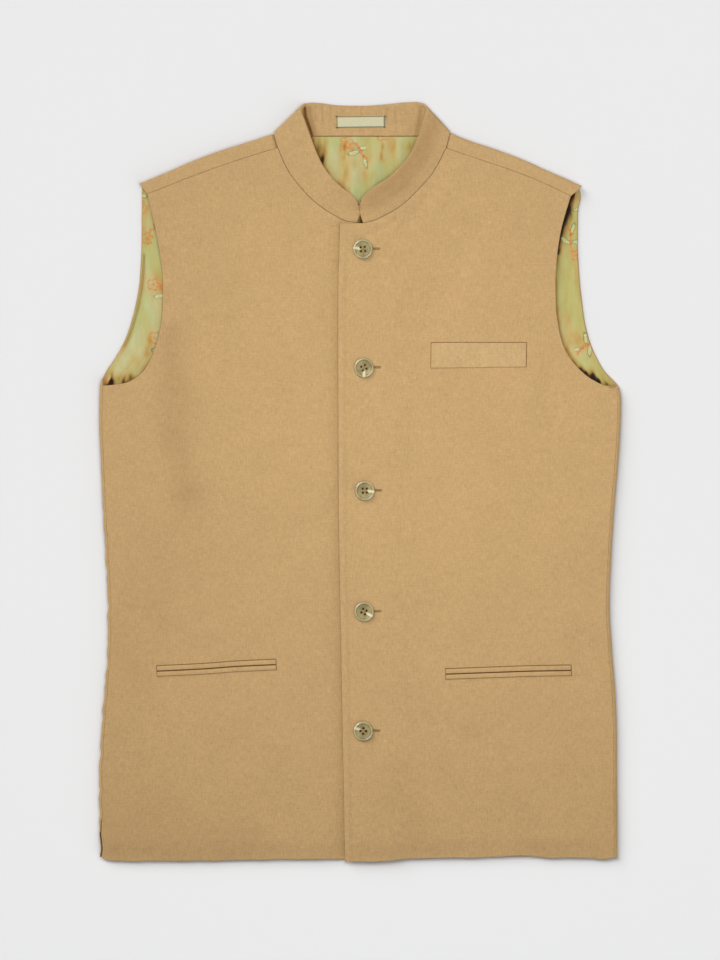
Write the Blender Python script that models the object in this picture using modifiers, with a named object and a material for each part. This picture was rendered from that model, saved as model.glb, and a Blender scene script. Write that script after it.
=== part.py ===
"""Sleeveless stand-collar gilet with a buttoned front, laid flat on its back.

The cloth panels are thin walls at their real size.  The back lies on the surface,
its edges turn up round the sides and over the shoulders, and the two fronts lie on
top, the wearer's left front over the right.  The back is one cut of cloth, divided
along its shoulder folds so that each solid has a simple shape.

+X is to the right and +Y towards the collar, seen from above.  Pieces are named for
the wearer's sides.  In the tables and functions left and right are as seen from above,
so the piece front_right is on the left there.  All sizes below are in millimetres.
"""
import math
from collections import namedtuple

import bmesh
import bpy
import numpy as np
from mathutils import Vector

OBJECT_NAME = "gilet"
MM = 0.001
WELD = 0.00001

# Walls of cloth, and the clearance that pieces keep to each other
BACK_WALL = 1.4
LINING_WALL = 0.8
FRONT_WALL = 2.0
COLLAR_WALL = 2.4
WELT_WALL = 1.6
JET_WALL = 1.2
LABEL_WALL = 0.6
CLEARANCE = 0.3
SEAM = 0.35
COLLAR_SEAM = 0.4
FOLD_GAP = 0.3

# The folded sides and shoulders are half rounds of this radius
ROLL = 4.0
FLAT_TOP = 2.0 * ROLL
HALF_TURN = math.pi / 2
EDGE_BAND = 0.4
SIDE_STRIP = EDGE_BAND + math.pi * ROLL
STRIP_ARCS = 4
STRIP_STEPS = STRIP_ARCS + 1
ROLL_STEPS = 6
TURN_SHARES = (0.0, 0.22, 0.44, 0.66, 0.86, 0.97, 1.0)

# The back lining's edges lie in from the back's
LINING_SIDE_INSET = 10.0
LINING_EDGE_INSET = 0.8
LINING_TOP_INSET = 0.6
LINING_HEM_INSET = 18.0
LINING_STRIP = 32.0

# Levels along the length
HEM_Y = -387.0
VENT_Y = -351.0
VENT_OPENING = 1.6
UNDERARM_Y = 99.0
CURL_LENGTH = 16.0
ARMHOLE_ROWS = (130.0, 150.0, 175.0, 205.0, 240.0)
LOWER_ROWS = 14
FRONT_ARMHOLE_ROWS = 6
CURL_ROWS = 4
TOP_ROWS = 3
VENT_BLEND = 6.0
LINING_MIDDLE_Y = -140.0
LINING_SIDE_BLEND = 30.0

# Columns across each panel, and how far its curved hem and shoulder seam reach into it
BACK_COLUMNS = (4, 4)
LINING_COLUMNS = (3, 14)
FRONT_COLUMNS = 14
HEM_PULL_POWER = 30
SEAM_PULL_POWER = 12
LEAST_PULL = 0.001
NECK_CORNER_SLOPE = 0.1

# Front overlap: the left front lies over the right one
UNDER_EDGE_X = 24.0
UNDER_CORNER_Y = 263.0
OVERLAP_DIP = 1.0
OVERLAP_LIFT = 1.5
DIP_REACH = 22.0
LIFT_START = 26.0
LIFT_END = 62.0
CALM_INNER = 26.0
CALM_OUTER = 46.0
CALM_CENTRE_X = 2.0

# Right side seam, hidden low on the roll
RIGHT_SEAM_ANGLE = math.radians(-20.0)
RIGHT_SEAM_HALF_GAP = math.radians(9.0)
RIGHT_VENT_HALF_GAP = math.radians(14.0)

Side = namedtuple("Side", "y left right")
SIDES = (
    Side(-388.0, -266.4, 263.6),
    Side(-351.0, -267.5, 265.0),
    Side(-307.0, -268.4, 264.5),
    Side(-266.0, -266.6, 264.4),
    Side(-225.0, -264.5, 263.3),
    Side(-173.0, -260.4, 259.7),
    Side(-127.0, -259.4, 257.9),
    Side(-80.0, -261.4, 258.9),
    Side(-24.0, -264.8, 262.2),
    Side(22.0, -266.5, 266.0),
    Side(64.0, -268.6, 268.4),
    Side(84.0, -268.4, 268.6),
    Side(99.0, -267.9, 266.2),
)

BackArmhole = namedtuple("BackArmhole", "y left right")
BACK_ARMHOLES = (
    BackArmhole(99.0, -267.9, 266.2),
    BackArmhole(105.0, -266.4, 260.8),
    BackArmhole(115.0, -261.5, 250.6),
    BackArmhole(126.0, -254.0, 244.4),
    BackArmhole(146.0, -242.8, 236.2),
    BackArmhole(167.0, -235.5, 230.8),
    BackArmhole(188.0, -230.4, 228.0),
    BackArmhole(208.0, -227.4, 225.8),
    BackArmhole(240.0, -225.0, 223.9),
)

FrontArmhole = namedtuple("FrontArmhole", "left_x left_y right_x right_y")
FRONT_ARMHOLES = (
    FrontArmhole(-263.9, 99.4, 262.2, 98.0),
    FrontArmhole(-257.2, 99.6, 257.0, 98.4),
    FrontArmhole(-242.0, 101.8, 239.9, 105.2),
    FrontArmhole(-227.4, 109.5, 226.2, 116.2),
    FrontArmhole(-218.0, 121.3, 212.4, 134.7),
    FrontArmhole(-210.3, 138.8, 205.7, 155.3),
    FrontArmhole(-203.2, 178.0, 202.3, 181.1),
    FrontArmhole(-203.0, 203.7, 201.8, 203.3),
    FrontArmhole(-205.2, 229.0, 203.2, 229.0),
    FrontArmhole(-211.2, 263.5, 206.6, 254.6),
    FrontArmhole(-218.8, 296.4, 217.3, 294.4),
)

Shoulder = namedtuple("Shoulder", "fold_x fold_y seam_x seam_y")
LEFT_SHOULDER = (
    Shoulder(-226.3, 307.8, -218.8, 296.4),
    Shoulder(-194.4, 321.2, -188.0, 308.7),
    Shoulder(-170.7, 331.5, -165.5, 317.4),
    Shoulder(-142.9, 341.8, -138.5, 327.0),
    Shoulder(-110.0, 352.1, -106.5, 337.5),
    Shoulder(-88.3, 359.3, -84.5, 344.1),
)
RIGHT_SHOULDER = (
    Shoulder(226.5, 306.0, 217.3, 294.4),
    Shoulder(216.6, 310.9, 208.5, 298.8),
    Shoulder(192.9, 321.2, 187.5, 308.6),
    Shoulder(170.2, 331.5, 165.0, 317.8),
    Shoulder(143.4, 341.8, 138.5, 327.1),
    Shoulder(112.5, 352.1, 108.0, 337.3),
    Shoulder(92.4, 360.3, 89.0, 343.8),
)

# Collar from the centre front to the neck end of the shoulder seam:
# its seam on the front, its free top edge, and how far that edge stands up
Stand = namedtuple("Stand", "seam_x seam_y top_x top_y rise")
LEFT_STAND = (
    Stand(-2.6, 266.9, -1.2, 287.5, 3.8),
    Stand(-12.0, 268.0, -7.0, 294.4, 4.4),
    Stand(-25.5, 274.2, -15.5, 300.5, 4.8),
    Stand(-45.1, 287.2, -27.5, 311.3, 4.9),
    Stand(-61.3, 303.6, -38.5, 326.5, 4.5),
    Stand(-75.1, 322.8, -46.0, 343.0, 3.8),
    Stand(-84.5, 344.1, -52.5, 361.0, 2.6),
)
RIGHT_STAND = (
    Stand(3.7, 266.4, -0.3, 288.9, 3.6),
    Stand(12.0, 268.2, 6.5, 296.0, 4.0),
    Stand(23.0, 272.8, 14.0, 302.4, 4.4),
    Stand(40.7, 283.0, 27.2, 310.9, 4.6),
    Stand(60.0, 300.6, 40.6, 323.0, 4.4),
    Stand(76.5, 320.1, 52.0, 337.5, 3.8),
    Stand(89.0, 343.8, 60.5, 356.5, 2.6),
)
NECK_STEPS = 8
STAND_STEPS = 4
STAND_CROWN = 0.7
LEFT_FOLD_TOP = (-57.4, 388.8)
RIGHT_FOLD_TOP = (65.5, 388.8)
FOLD_TOP_RADIUS = 4.5
FOLD_TURN_SHARE = 0.35
CollarBack = namedtuple("CollarBack", "seam_x top_x top_y")
COLLAR_BACK = (
    CollarBack(-70.0, -38.0, 389.8),
    CollarBack(-46.0, -26.0, 388.6),
    CollarBack(-22.0, -12.0, 387.7),
    CollarBack(2.0, 2.0, 387.3),
    CollarBack(26.0, 17.0, 388.4),
    CollarBack(50.0, 32.0, 389.6),
    CollarBack(74.0, 46.0, 390.6),
)
BACK_NECK_Y = 356.9

# Front edge of the over front, and the hems, as height against width
Edge = namedtuple("Edge", "y x")
FRONT_EDGE = (
    Edge(-390.7, -15.2),
    Edge(-225.0, -18.3),
    Edge(-120.0, -20.3),
    Edge(-20.0, -21.9),
    Edge(190.0, -22.4),
    Edge(265.9, -20.3),
)
Hem = namedtuple("Hem", "x y")
UNDER_HEM = (
    Hem(-266.0, -386.6),
    Hem(-252.0, -389.4),
    Hem(-164.0, -389.8),
    Hem(-62.0, -388.1),
    Hem(24.0, -388.4),
)
OVER_HEM = (
    Hem(-15.2, -390.7),
    Hem(10.6, -390.9),
    Hem(36.0, -389.4),
    Hem(72.0, -387.2),
    Hem(124.0, -386.5),
    Hem(165.0, -385.0),
    Hem(196.0, -386.8),
    Hem(237.0, -387.2),
    Hem(252.0, -389.0),
    Hem(260.0, -387.4),
)

# Soft troughs (depth below zero) and ridges pressed in the fronts, along a short path
Fold = namedtuple("Fold", "depth width path")
FRONT_FOLDS = (
    Fold(-1.7, 20.0, ((-200, 218), (-190, 156), (-190, 33), (-170, -50))),
    Fold(0.6, 13.0, ((-217, 98), (-212, 55))),
    Fold(0.5, 16.0, ((-162, 172), (-158, 118))),
    Fold(-0.8, 13.0, ((-205, 282), (-199, 240))),
    Fold(-0.8, 14.0, ((-134, 196), (-126, 172))),
    Fold(0.8, 15.0, ((108, 326), (83, 290))),
    Fold(-0.7, 12.0, ((48, 266), (66, 285), (80, 308))),
    Fold(-1.2, 22.0, ((114, 259), (88, 205), (74, 156))),
    Fold(-0.8, 15.0, ((193, 120), (196, 62))),
    Fold(-0.6, 16.0, ((52, 62), (50, 20))),
    Fold(-0.5, 16.0, ((224, -163), (240, -204))),
    Fold(-0.5, 18.0, ((72, -245), (124, -266))),
    Fold(-0.6, 14.0, ((-246, -122), (-211, -147))),
    Fold(-0.5, 15.0, ((-228, -225), (-214, -247))),
)
# Ridges of the slack back lining below the neck and at the underarms
LINING_FOLDS = (
    Fold(0.9, 9.0, ((-58, 352), (-62, 300))),
    Fold(1.6, 9.0, ((-29, 350), (-33, 275))),
    Fold(1.8, 9.0, ((-8, 352), (-6, 268))),
    Fold(1.5, 10.0, ((18, 350), (14, 280))),
    Fold(1.6, 9.0, ((40, 352), (44, 290))),
    Fold(0.9, 9.0, ((64, 350), (70, 305))),
    Fold(1.1, 6.0, ((-252, 106), (-243, 125))),
    Fold(0.9, 6.0, ((-236, 112), (-226, 134))),
    Fold(1.1, 6.0, ((246, 105), (237, 122))),
    Fold(0.9, 6.0, ((230, 116), (220, 138))),
)
FOLD_SIDE_MARGIN = (5.0, 24.0)
FOLD_SHOULDER_MARGIN = (1.0, 18.0)

# Pockets and label
Corner = namedtuple("Corner", "x y")
WELT_CORNERS = (
    Corner(73.4, 117.0),
    Corner(171.2, 118.3),
    Corner(171.8, 143.2),
    Corner(73.8, 143.2),
)
# Mouths of the wearer's left and right pockets, from end to end
LEFT_MOUTH = (
    Corner(88.6, -198.2),
    Corner(134.2, -196.5),
    Corner(175.4, -195.1),
    Corner(217.6, -194.3),
)
RIGHT_MOUTH = (
    Corner(-208.8, -195.1),
    Corner(-157.3, -192.5),
    Corner(-127.8, -190.3),
    Corner(-86.3, -188.3),
)
JET_DEPTH = 5.0
JET_STEPS = 12
JET_LOOK = 0.02
MOUTH_GAP = 0.5
WELT_STEPS = (6, 2)
LABEL_STEPS = (2, 1)
LABEL_CORNERS = (
    Corner(-23.6, 365.6),
    Corner(25.6, 366.2),
    Corner(26.3, 377.3),
    Corner(-23.8, 376.9),
)

# Buttons: turned discs with a raised rim, a dished middle and four thread holes
BUTTONS = (
    Corner(2.9, 240.2),
    Corner(4.2, 117.4),
    Corner(5.4, -8.2),
    Corner(5.4, -133.1),
    Corner(4.4, -256.7),
)
BUTTON_SEGMENTS = 20
Turn = namedtuple("Turn", "radius height")
BUTTON_PROFILE = (
    Turn(0.0, 1.7),
    Turn(5.6, 1.9),
    Turn(7.4, 2.7),
    Turn(8.6, 3.2),
    Turn(9.7, 2.9),
    Turn(10.25, 2.0),
    Turn(9.4, 0.5),
    Turn(7.6, 0.0),
    Turn(0.0, 0.0),
)
HOLE_RADIUS = 1.0
HOLE_SPACING = 1.75
HOLE_SIDES = 8
PIN_LENGTH = 8.0

# Colours as linear red, green and blue, with roughness and metallic value
Finish = namedtuple("Finish", "red green blue roughness metallic")
FINISHES = {
    "cloth": Finish(0.57, 0.37, 0.18, 0.92, 0.0),
    "lining": Finish(0.50, 0.40, 0.16, 0.45, 0.0),
    "horn": Finish(0.32, 0.23, 0.12, 0.25, 0.0),
    "label": Finish(0.55, 0.52, 0.38, 0.80, 0.0),
}


def clear_scene():
    """Remove every object that the file starts with."""
    for item in list(bpy.data.objects):
        bpy.data.objects.remove(item, do_unlink=True)


def ease(low, high, value):
    """Smooth step from 0 at low to 1 at high, which may be the smaller number."""
    share = min(max((value - low) / (high - low), 0.0), 1.0)
    return share * share * (3.0 - 2.0 * share)


def chords(points):
    """Share of the way along a row of points, from 0 to 1."""
    steps = np.linalg.norm(np.diff(np.asarray(points, float), axis=0), axis=1)
    lengths = np.concatenate(([0.0], np.cumsum(steps)))
    return lengths / lengths[-1]


def slopes(knots, values):
    """Slope at each row of a table, level at a turn, so that no curve overshoots."""
    steps = np.diff(knots)[:, None]
    rises = np.diff(values, axis=0) / steps
    found = np.zeros_like(values)
    found[0] = rises[0]
    found[-1] = rises[-1]
    for row in range(1, len(knots) - 1):
        before, after = rises[row - 1], rises[row]
        together = before * after > 0
        near = 2.0 * steps[row] + steps[row - 1]
        far = steps[row] + 2.0 * steps[row - 1]
        safe_before = np.where(together, before, 1.0)
        safe_after = np.where(together, after, 1.0)
        mean = (near + far) / (near / safe_before + far / safe_after)
        found[row] = np.where(together, mean, 0.0)
    return found


def smooth(knots, values, at):
    """Read a smooth curve through the rows of a table, held at its ends."""
    knots = np.asarray(knots, float)
    values = np.asarray(values, float).reshape(len(knots), -1)
    at = min(max(at, knots[0]), knots[-1])
    row = min(int(np.searchsorted(knots, at, side="right")) - 1, len(knots) - 2)
    width = knots[row + 1] - knots[row]
    share = (at - knots[row]) / width
    slope = slopes(knots, values)
    start = (1 + 2 * share) * (1 - share) ** 2 * values[row]
    start_slope = share * (1 - share) ** 2 * width * slope[row]
    end = share ** 2 * (3 - 2 * share) * values[row + 1]
    end_slope = share ** 2 * (share - 1) * width * slope[row + 1]
    return start + start_slope + end + end_slope


def column(table, name):
    """One named column of a table."""
    return [getattr(row, name) for row in table]


def along(points, share):
    """Point at a share of the way along a smooth path."""
    return smooth(chords(points), points, share)


def side_x(side, y):
    """Silhouette of the body below the underarm."""
    return float(smooth(column(SIDES, "y"), column(SIDES, side), y)[0])


def hem_y(table, x):
    """Height of a hem at a place across the body."""
    return float(smooth(column(table, "x"), column(table, "y"), x)[0])


def front_edge_x(y):
    """Left edge of the over front."""
    return float(smooth(column(FRONT_EDGE, "y"), column(FRONT_EDGE, "x"), y)[0])


def shoulder_table(side):
    """Rows of the shoulder on one side."""
    return LEFT_SHOULDER if side == "left" else RIGHT_SHOULDER


def shoulder_points(side, share):
    """Fold and seam points at a share of the way from the shoulder tip to the neck."""
    table = shoulder_table(side)
    folds = [(row.fold_x, row.fold_y) for row in table]
    seams = [(row.seam_x, row.seam_y) for row in table]
    knots = chords(folds)
    return smooth(knots, folds, share), smooth(knots, seams, share)


def roll_frame(side, share):
    """Centre of the shoulder's roll and the direction square to the fold, in plan."""
    fold, seam = shoulder_points(side, share)
    outward = (fold - seam) / np.linalg.norm(fold - seam)
    return fold - ROLL * outward, outward


def fold_offset(folds, x, y):
    """Height that the soft folds add at a place: each is a rounded trough or ridge."""
    total = 0.0
    here = np.array((x, y), float)
    for fold in folds:
        nearest = math.inf
        for first, second in zip(fold.path, fold.path[1:]):
            start = np.array(first, float)
            run = np.array(second, float) - start
            share = min(max(float((here - start) @ run / (run @ run)), 0.0), 1.0)
            nearest = min(nearest, float(np.linalg.norm(here - start - share * run)))
        total += fold.depth * math.exp(-(nearest / fold.width) ** 2 * 2.0)
    return total


def front_folds(x, y):
    """Folds of the fronts, calmed at the seams and where the fronts overlap."""
    left_margin = ease(*FOLD_SIDE_MARGIN, x - side_x("left", y))
    right_margin = ease(*FOLD_SIDE_MARGIN, side_x("right", y) - x)
    calm = ease(CALM_INNER, CALM_OUTER, abs(x - CALM_CENTRE_X))
    table = shoulder_table("left" if x < 0 else "right")
    rows = sorted(zip(column(table, "seam_x"), column(table, "seam_y")))
    seam = float(smooth([row[0] for row in rows], [row[1] for row in rows], x)[0])
    outside_neck = abs(x) > abs(table[-1].seam_x)
    seam_margin = ease(*FOLD_SHOULDER_MARGIN, seam - y) if outside_neck else 1.0
    margins = left_margin * right_margin * seam_margin
    return fold_offset(FRONT_FOLDS, x, y) * margins * calm


def under_top(x, y):
    """Outer face of the right front, pressed down where the left one lies on it."""
    edge = front_edge_x(y)
    return FLAT_TOP + front_folds(x, y) - OVERLAP_DIP * ease(edge - DIP_REACH, edge - 1.0, x)


def over_top(x, y):
    """Outer face of the left front, lifted where it lies on the right one."""
    return FLAT_TOP + front_folds(x, y) + OVERLAP_LIFT * (1.0 - ease(LIFT_START, LIFT_END, x))


def vent_share(y):
    """How far the side slits stand open at a height, from 0 above them to 1."""
    return ease(VENT_Y + VENT_BLEND, VENT_Y - VENT_BLEND, y)


def side_edge(side, y):
    """Outermost place of the back and the angle up to which its edge is rolled."""
    if y <= UNDERARM_Y:
        if side == "left":
            return side_x(side, y), HALF_TURN
        opening = RIGHT_VENT_HALF_GAP * vent_share(y)
        return side_x(side, y), RIGHT_SEAM_ANGLE - RIGHT_SEAM_HALF_GAP - opening
    edge = float(smooth(column(BACK_ARMHOLES, "y"), column(BACK_ARMHOLES, side), y)[0])
    full = HALF_TURN if side == "left" else RIGHT_SEAM_ANGLE - RIGHT_SEAM_HALF_GAP
    share = ease(UNDERARM_Y, UNDERARM_Y + CURL_LENGTH, y)
    return edge, full + share * (-HALF_TURN - full)


def strip_point(side, y, distance, depth):
    """Point of the back at a distance along the cloth from its side or armhole edge.

    Depth is measured into the garment from the back's outer face.
    """
    sign = -1.0 if side == "left" else 1.0
    edge, end = side_edge(side, y)
    turned = ROLL * math.cos(end) - EDGE_BAND * math.sin(end)
    centre = edge - sign * (ROLL if end >= 0 else turned)
    arc = (end + HALF_TURN) * ROLL
    reach = ROLL - depth
    past = distance - EDGE_BAND
    if past < 0:
        across = reach * math.cos(end) + past * math.sin(end)
        height = ROLL + reach * math.sin(end) - past * math.cos(end)
    elif past < arc:
        angle = end - past / ROLL
        across = reach * math.cos(angle)
        height = ROLL + reach * math.sin(angle)
    else:
        across = arc - past
        height = depth
    return np.array((centre + sign * across, y, height))


def strip_distances():
    """Distances from the edge of the columns that may turn up, the edge band first."""
    return [0.0] + [EDGE_BAND + math.pi * ROLL * step / STRIP_ARCS for step in range(STRIP_ARCS)]


def back_columns(shoulder_steps, neck_steps):
    """Places across the back, shared by all its rows.

    Each is a side with a distance from the edge, or a share of the floor between strips,
    with the part of the top edge that it meets.
    """
    left_length = shoulder_length("left")
    right_length = shoulder_length("right")
    columns = []
    for distance in strip_distances():
        columns.append(("left", distance, ("left", distance / left_length)))
    for step in range(shoulder_steps):
        share = SIDE_STRIP / left_length + (1 - SIDE_STRIP / left_length) * step / shoulder_steps
        columns.append(("floor", 0.0, ("left", share)))
    for step in range(neck_steps + 1):
        columns.append(("floor", 0.0, ("neck", step / neck_steps)))
    for step in range(shoulder_steps, 0, -1):
        share = SIDE_STRIP / right_length + (1 - SIDE_STRIP / right_length) * (step - 1) / shoulder_steps
        columns.append(("floor", 0.0, ("right", share)))
    for distance in reversed(strip_distances()):
        columns.append(("right", distance, ("right", distance / right_length)))
    return columns


def shoulder_length(side):
    """Length of the shoulder fold from its tip to the neck."""
    folds = np.array([(row.fold_x, row.fold_y) for row in shoulder_table(side)])
    return float(np.sum(np.linalg.norm(np.diff(folds, axis=0), axis=1)))


def back_top(meets, depth, insets):
    """Top edge of the back on the floor: where the shoulders start to turn up, and the neck.

    The insets are those of the neck's edge and of the shoulders.
    """
    neck_inset, shoulder_inset = insets
    kind, share = meets
    if kind == "neck":
        left, left_outward = roll_frame("left", 1.0)
        right, right_outward = roll_frame("right", 1.0)
        left = left - shoulder_inset * left_outward
        right = right - shoulder_inset * right_outward
        x = left[0] + share * (right[0] - left[0])
        from_left = left[1] + NECK_CORNER_SLOPE * (x - left[0])
        from_right = right[1] + NECK_CORNER_SLOPE * (right[0] - x)
        y = min(BACK_NECK_Y, from_left, from_right)
        return np.array((x, y - neck_inset, depth))
    centre, outward = roll_frame(kind, share)
    centre = centre - shoulder_inset * outward
    return np.array((centre[0], centre[1], depth))


def floor_x(columns, index, y, last_top, strip):
    """Place across the floor part of a row, spaced as the top edge is."""
    left = strip_point("left", y, strip, 0.0)[0]
    right = strip_point("right", y, strip, 0.0)[0]
    first = STRIP_STEPS
    last = len(columns) - 1 - STRIP_STEPS
    start = last_top[first][0]
    end = last_top[last][0]
    return left + (last_top[index][0] - start) / (end - start) * (right - left)


def back_grid(rows, columns, depth, edge_inset, strip, top_insets, folds):
    """Grid of points that follows the back at a depth, from the hem to the top edge.

    The strip is the length of cloth at each side that may turn up.
    """
    tops = [back_top(meets, depth, top_insets) for _, _, meets in columns]
    grid = []
    for y in rows:
        line = []
        for index, (kind, distance, _) in enumerate(columns):
            if kind == "floor":
                line.append(np.array((floor_x(columns, index, y, tops, strip), y, depth)))
            else:
                inset = edge_inset(kind, y)
                kept = inset + distance * (strip - inset) / SIDE_STRIP
                line.append(strip_point(kind, y, kept, depth))
        grid.append(line)
    last = grid[-1]
    for step in range(1, TOP_ROWS + 1):
        share = step / TOP_ROWS
        grid.append([low + share * (top - low) for low, top in zip(last, tops)])
    for line in grid:
        for point in line:
            point[2] += fold_offset(folds, point[0], point[1]) if folds else 0.0
    return grid


def shoulder_grid(side, shares, depth):
    """Roll of the back over one shoulder, from the floor to the forward seam on top."""
    frames = [roll_frame(side, share) for share in shares]
    starts = [centre - EDGE_BAND * outward for centre, outward in frames]
    grid = [[np.array((place[0], place[1], depth)) for place in starts]]
    for step in range(ROLL_STEPS + 1):
        angle = -HALF_TURN + math.pi * step / ROLL_STEPS
        line = []
        for centre, outward in frames:
            place = centre + (ROLL - depth) * math.cos(angle) * outward
            line.append(np.array((place[0], place[1], ROLL + (ROLL - depth) * math.sin(angle))))
        grid.append(line)
    seam_line = []
    for share, (_, outward) in zip(shares, frames):
        _, seam = shoulder_points(side, share)
        place = seam + SEAM * outward
        seam_line.append(np.array((place[0], place[1], FLAT_TOP - depth)))
    grid.append(seam_line)
    return grid


def lower_rows():
    """Heights of the rows that the back and the fronts share below the underarm."""
    return [HEM_Y + (UNDERARM_Y - HEM_Y) * step / LOWER_ROWS for step in range(LOWER_ROWS + 1)]


def upper_rows():
    """Heights of the back's rows from the underarm up to the shoulders."""
    curls = [UNDERARM_Y + CURL_LENGTH * step / CURL_ROWS for step in range(1, CURL_ROWS + 1)]
    return curls + list(ARMHOLE_ROWS)


def back_blocks():
    """Back panel, which turns up at its sides, as far as the folds over the shoulders."""
    columns = back_columns(*BACK_COLUMNS)
    rows = lower_rows() + upper_rows()
    insets = (0.0, EDGE_BAND + FOLD_GAP)
    return [back_grid(rows, columns, 0.0, lambda side, y: 0.0, SIDE_STRIP, insets, ())]


def shoulder_blocks(side):
    """Rest of the back's cloth, from the fold over one shoulder to the forward seam."""
    columns = back_columns(*BACK_COLUMNS)
    shares = [meets[1] for _, _, meets in columns if meets[0] == side]
    if side == "left":
        return [shoulder_grid(side, shares + [1.0], 0.0)]
    return [shoulder_grid(side, [1.0] + shares, 0.0)]


def lining_inset(side, y):
    """How far the lining's edge lies in from the back's own edge, along the cloth."""
    _, end = side_edge(side, y)
    turned_up = EDGE_BAND + (end + HALF_TURN) * ROLL
    below_arm = ease(UNDERARM_Y, UNDERARM_Y - LINING_SIDE_BLEND, y)
    return turned_up + LINING_EDGE_INSET + LINING_SIDE_INSET * below_arm


def lining_blocks():
    """Back lining, which shows in the neck and in both armholes."""
    columns = back_columns(*LINING_COLUMNS)
    rows = [HEM_Y + LINING_HEM_INSET, LINING_MIDDLE_Y] + lower_rows()[-2:] + upper_rows()
    depth = BACK_WALL + CLEARANCE
    insets = (LINING_TOP_INSET, LINING_TOP_INSET)
    return [back_grid(rows, columns, depth, lining_inset, LINING_STRIP, insets, LINING_FOLDS)]


def outer_point(side, up, shared_up):
    """Outer edge of a front: its side up to the underarm, then its armhole."""
    if up <= shared_up:
        y = HEM_Y + (UNDERARM_Y - HEM_Y) * up / shared_up
        if side == "left":
            opening = VENT_OPENING * vent_share(y)
            return np.array((side_x("left", y) + ROLL + EDGE_BAND + SEAM + opening, y))
        return np.array((side_x("right", y) - ROLL, y))
    share = (up - shared_up) / (1.0 - shared_up)
    points = [(getattr(row, side + "_x"), getattr(row, side + "_y")) for row in FRONT_ARMHOLES]
    start = outer_point(side, shared_up, shared_up)
    points[0] = tuple(start)
    return along(points, share)


def neck_point(side, share):
    """Collar seam at a share of the way from the centre front to the shoulder seam."""
    table = LEFT_STAND if side == "left" else RIGHT_STAND
    return along([(row.seam_x, row.seam_y) for row in table], share)


def inner_point(side, up, corner_up, first_up):
    """Inner edge of a front: its front edge, its top corner, then the neck."""
    if side == "left":
        corner = np.array((UNDER_EDGE_X, UNDER_CORNER_Y))
        hem = np.array((UNDER_EDGE_X, hem_y(UNDER_HEM, UNDER_EDGE_X)))
    else:
        corner = np.array((FRONT_EDGE[-1].x, FRONT_EDGE[-1].y))
        hem = np.array((FRONT_EDGE[0].x, FRONT_EDGE[0].y))
    if up <= corner_up:
        y = hem[1] + (corner[1] - hem[1]) * up / corner_up
        x = UNDER_EDGE_X if side == "left" else front_edge_x(y)
        return np.array((x, y))
    centre_front = neck_point(side, 0.0)
    if up <= first_up:
        return corner + (centre_front - corner) * (up - corner_up) / (first_up - corner_up)
    return neck_point(side, (up - first_up) / (1.0 - first_up))


def front_ups():
    """Rows of a front from hem to shoulder, and where its corners fall on them."""
    to_corner = LOWER_ROWS + FRONT_ARMHOLE_ROWS
    total = to_corner + 1 + NECK_STEPS
    ups = [step / total for step in range(total + 1)]
    return ups, LOWER_ROWS / total, to_corner / total, (to_corner + 1) / total


def front_plan(side, columns):
    """Plan of a front as rows of points, filled in between its four edges."""
    ups, shared_up, corner_up, first_up = front_ups()
    hem_table = UNDER_HEM if side == "left" else OVER_HEM
    grid = []
    for up in ups:
        outer = outer_point(side, up, shared_up)
        inner = inner_point(side, up, corner_up, first_up)
        hem_pull = (1.0 - up) ** HEM_PULL_POWER
        seam_pull = up ** SEAM_PULL_POWER
        line = []
        for step in range(columns + 1):
            share = step / columns
            place = outer + share * (inner - outer)
            if hem_pull > LEAST_PULL:
                low = outer_point(side, 0.0, shared_up)
                high = inner_point(side, 0.0, corner_up, first_up)
                straight = low + share * (high - low)
                drop = hem_y(hem_table, straight[0]) - straight[1]
                place = place + hem_pull * np.array((0.0, drop))
            if seam_pull > LEAST_PULL:
                low = shoulder_points(side, 0.0)[1]
                high = shoulder_points(side, 1.0)[1]
                curved = shoulder_points(side, share)[1]
                place = place + seam_pull * (curved - low - share * (high - low))
            line.append(place)
        grid.append(line)
    return grid


def lifted(grid, height, extra=0.0):
    """Give a plan its height from a surface."""
    return [[np.array((x, y, height(x, y) + extra)) for x, y in line] for line in grid]


def right_front_blocks():
    """Right front: the under one, on the left seen from above."""
    return [lifted(front_plan("left", FRONT_COLUMNS), under_top)]


def left_front_blocks():
    """Left front: the over one, which turns down round its side to a hidden seam."""
    plan = front_plan("right", FRONT_COLUMNS)
    main = [line[::-1] for line in lifted(plan, over_top)]
    turn = []
    for line, y in zip(main, lower_rows()):
        opening = RIGHT_VENT_HALF_GAP * vent_share(y)
        end = RIGHT_SEAM_ANGLE + RIGHT_SEAM_HALF_GAP + opening
        centre = line[-1][0]
        level = line[-1][1]
        points = []
        for share in TURN_SHARES:
            angle = HALF_TURN + (end - HALF_TURN) * share
            x = centre + ROLL * math.cos(angle)
            points.append(np.array((x, level, ROLL + ROLL * math.sin(angle))))
        turn.append(points)
    return [main, turn]


def fold_line(side):
    """Ends of the collar's fold, the way it turns out at each, and its own direction."""
    centre, outward = roll_frame(side, 1.0)
    inward = np.array((-outward[1], outward[0])) * (-1.0 if side == "left" else 1.0)
    start = centre + ROLL * outward + COLLAR_SEAM * inward
    end = np.array(LEFT_FOLD_TOP if side == "left" else RIGHT_FOLD_TOP)
    line = (end - start) / np.linalg.norm(end - start)
    turn = np.array((-line[1], line[0])) * (1.0 if side == "left" else -1.0)
    return start, end, outward, turn, line


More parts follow.
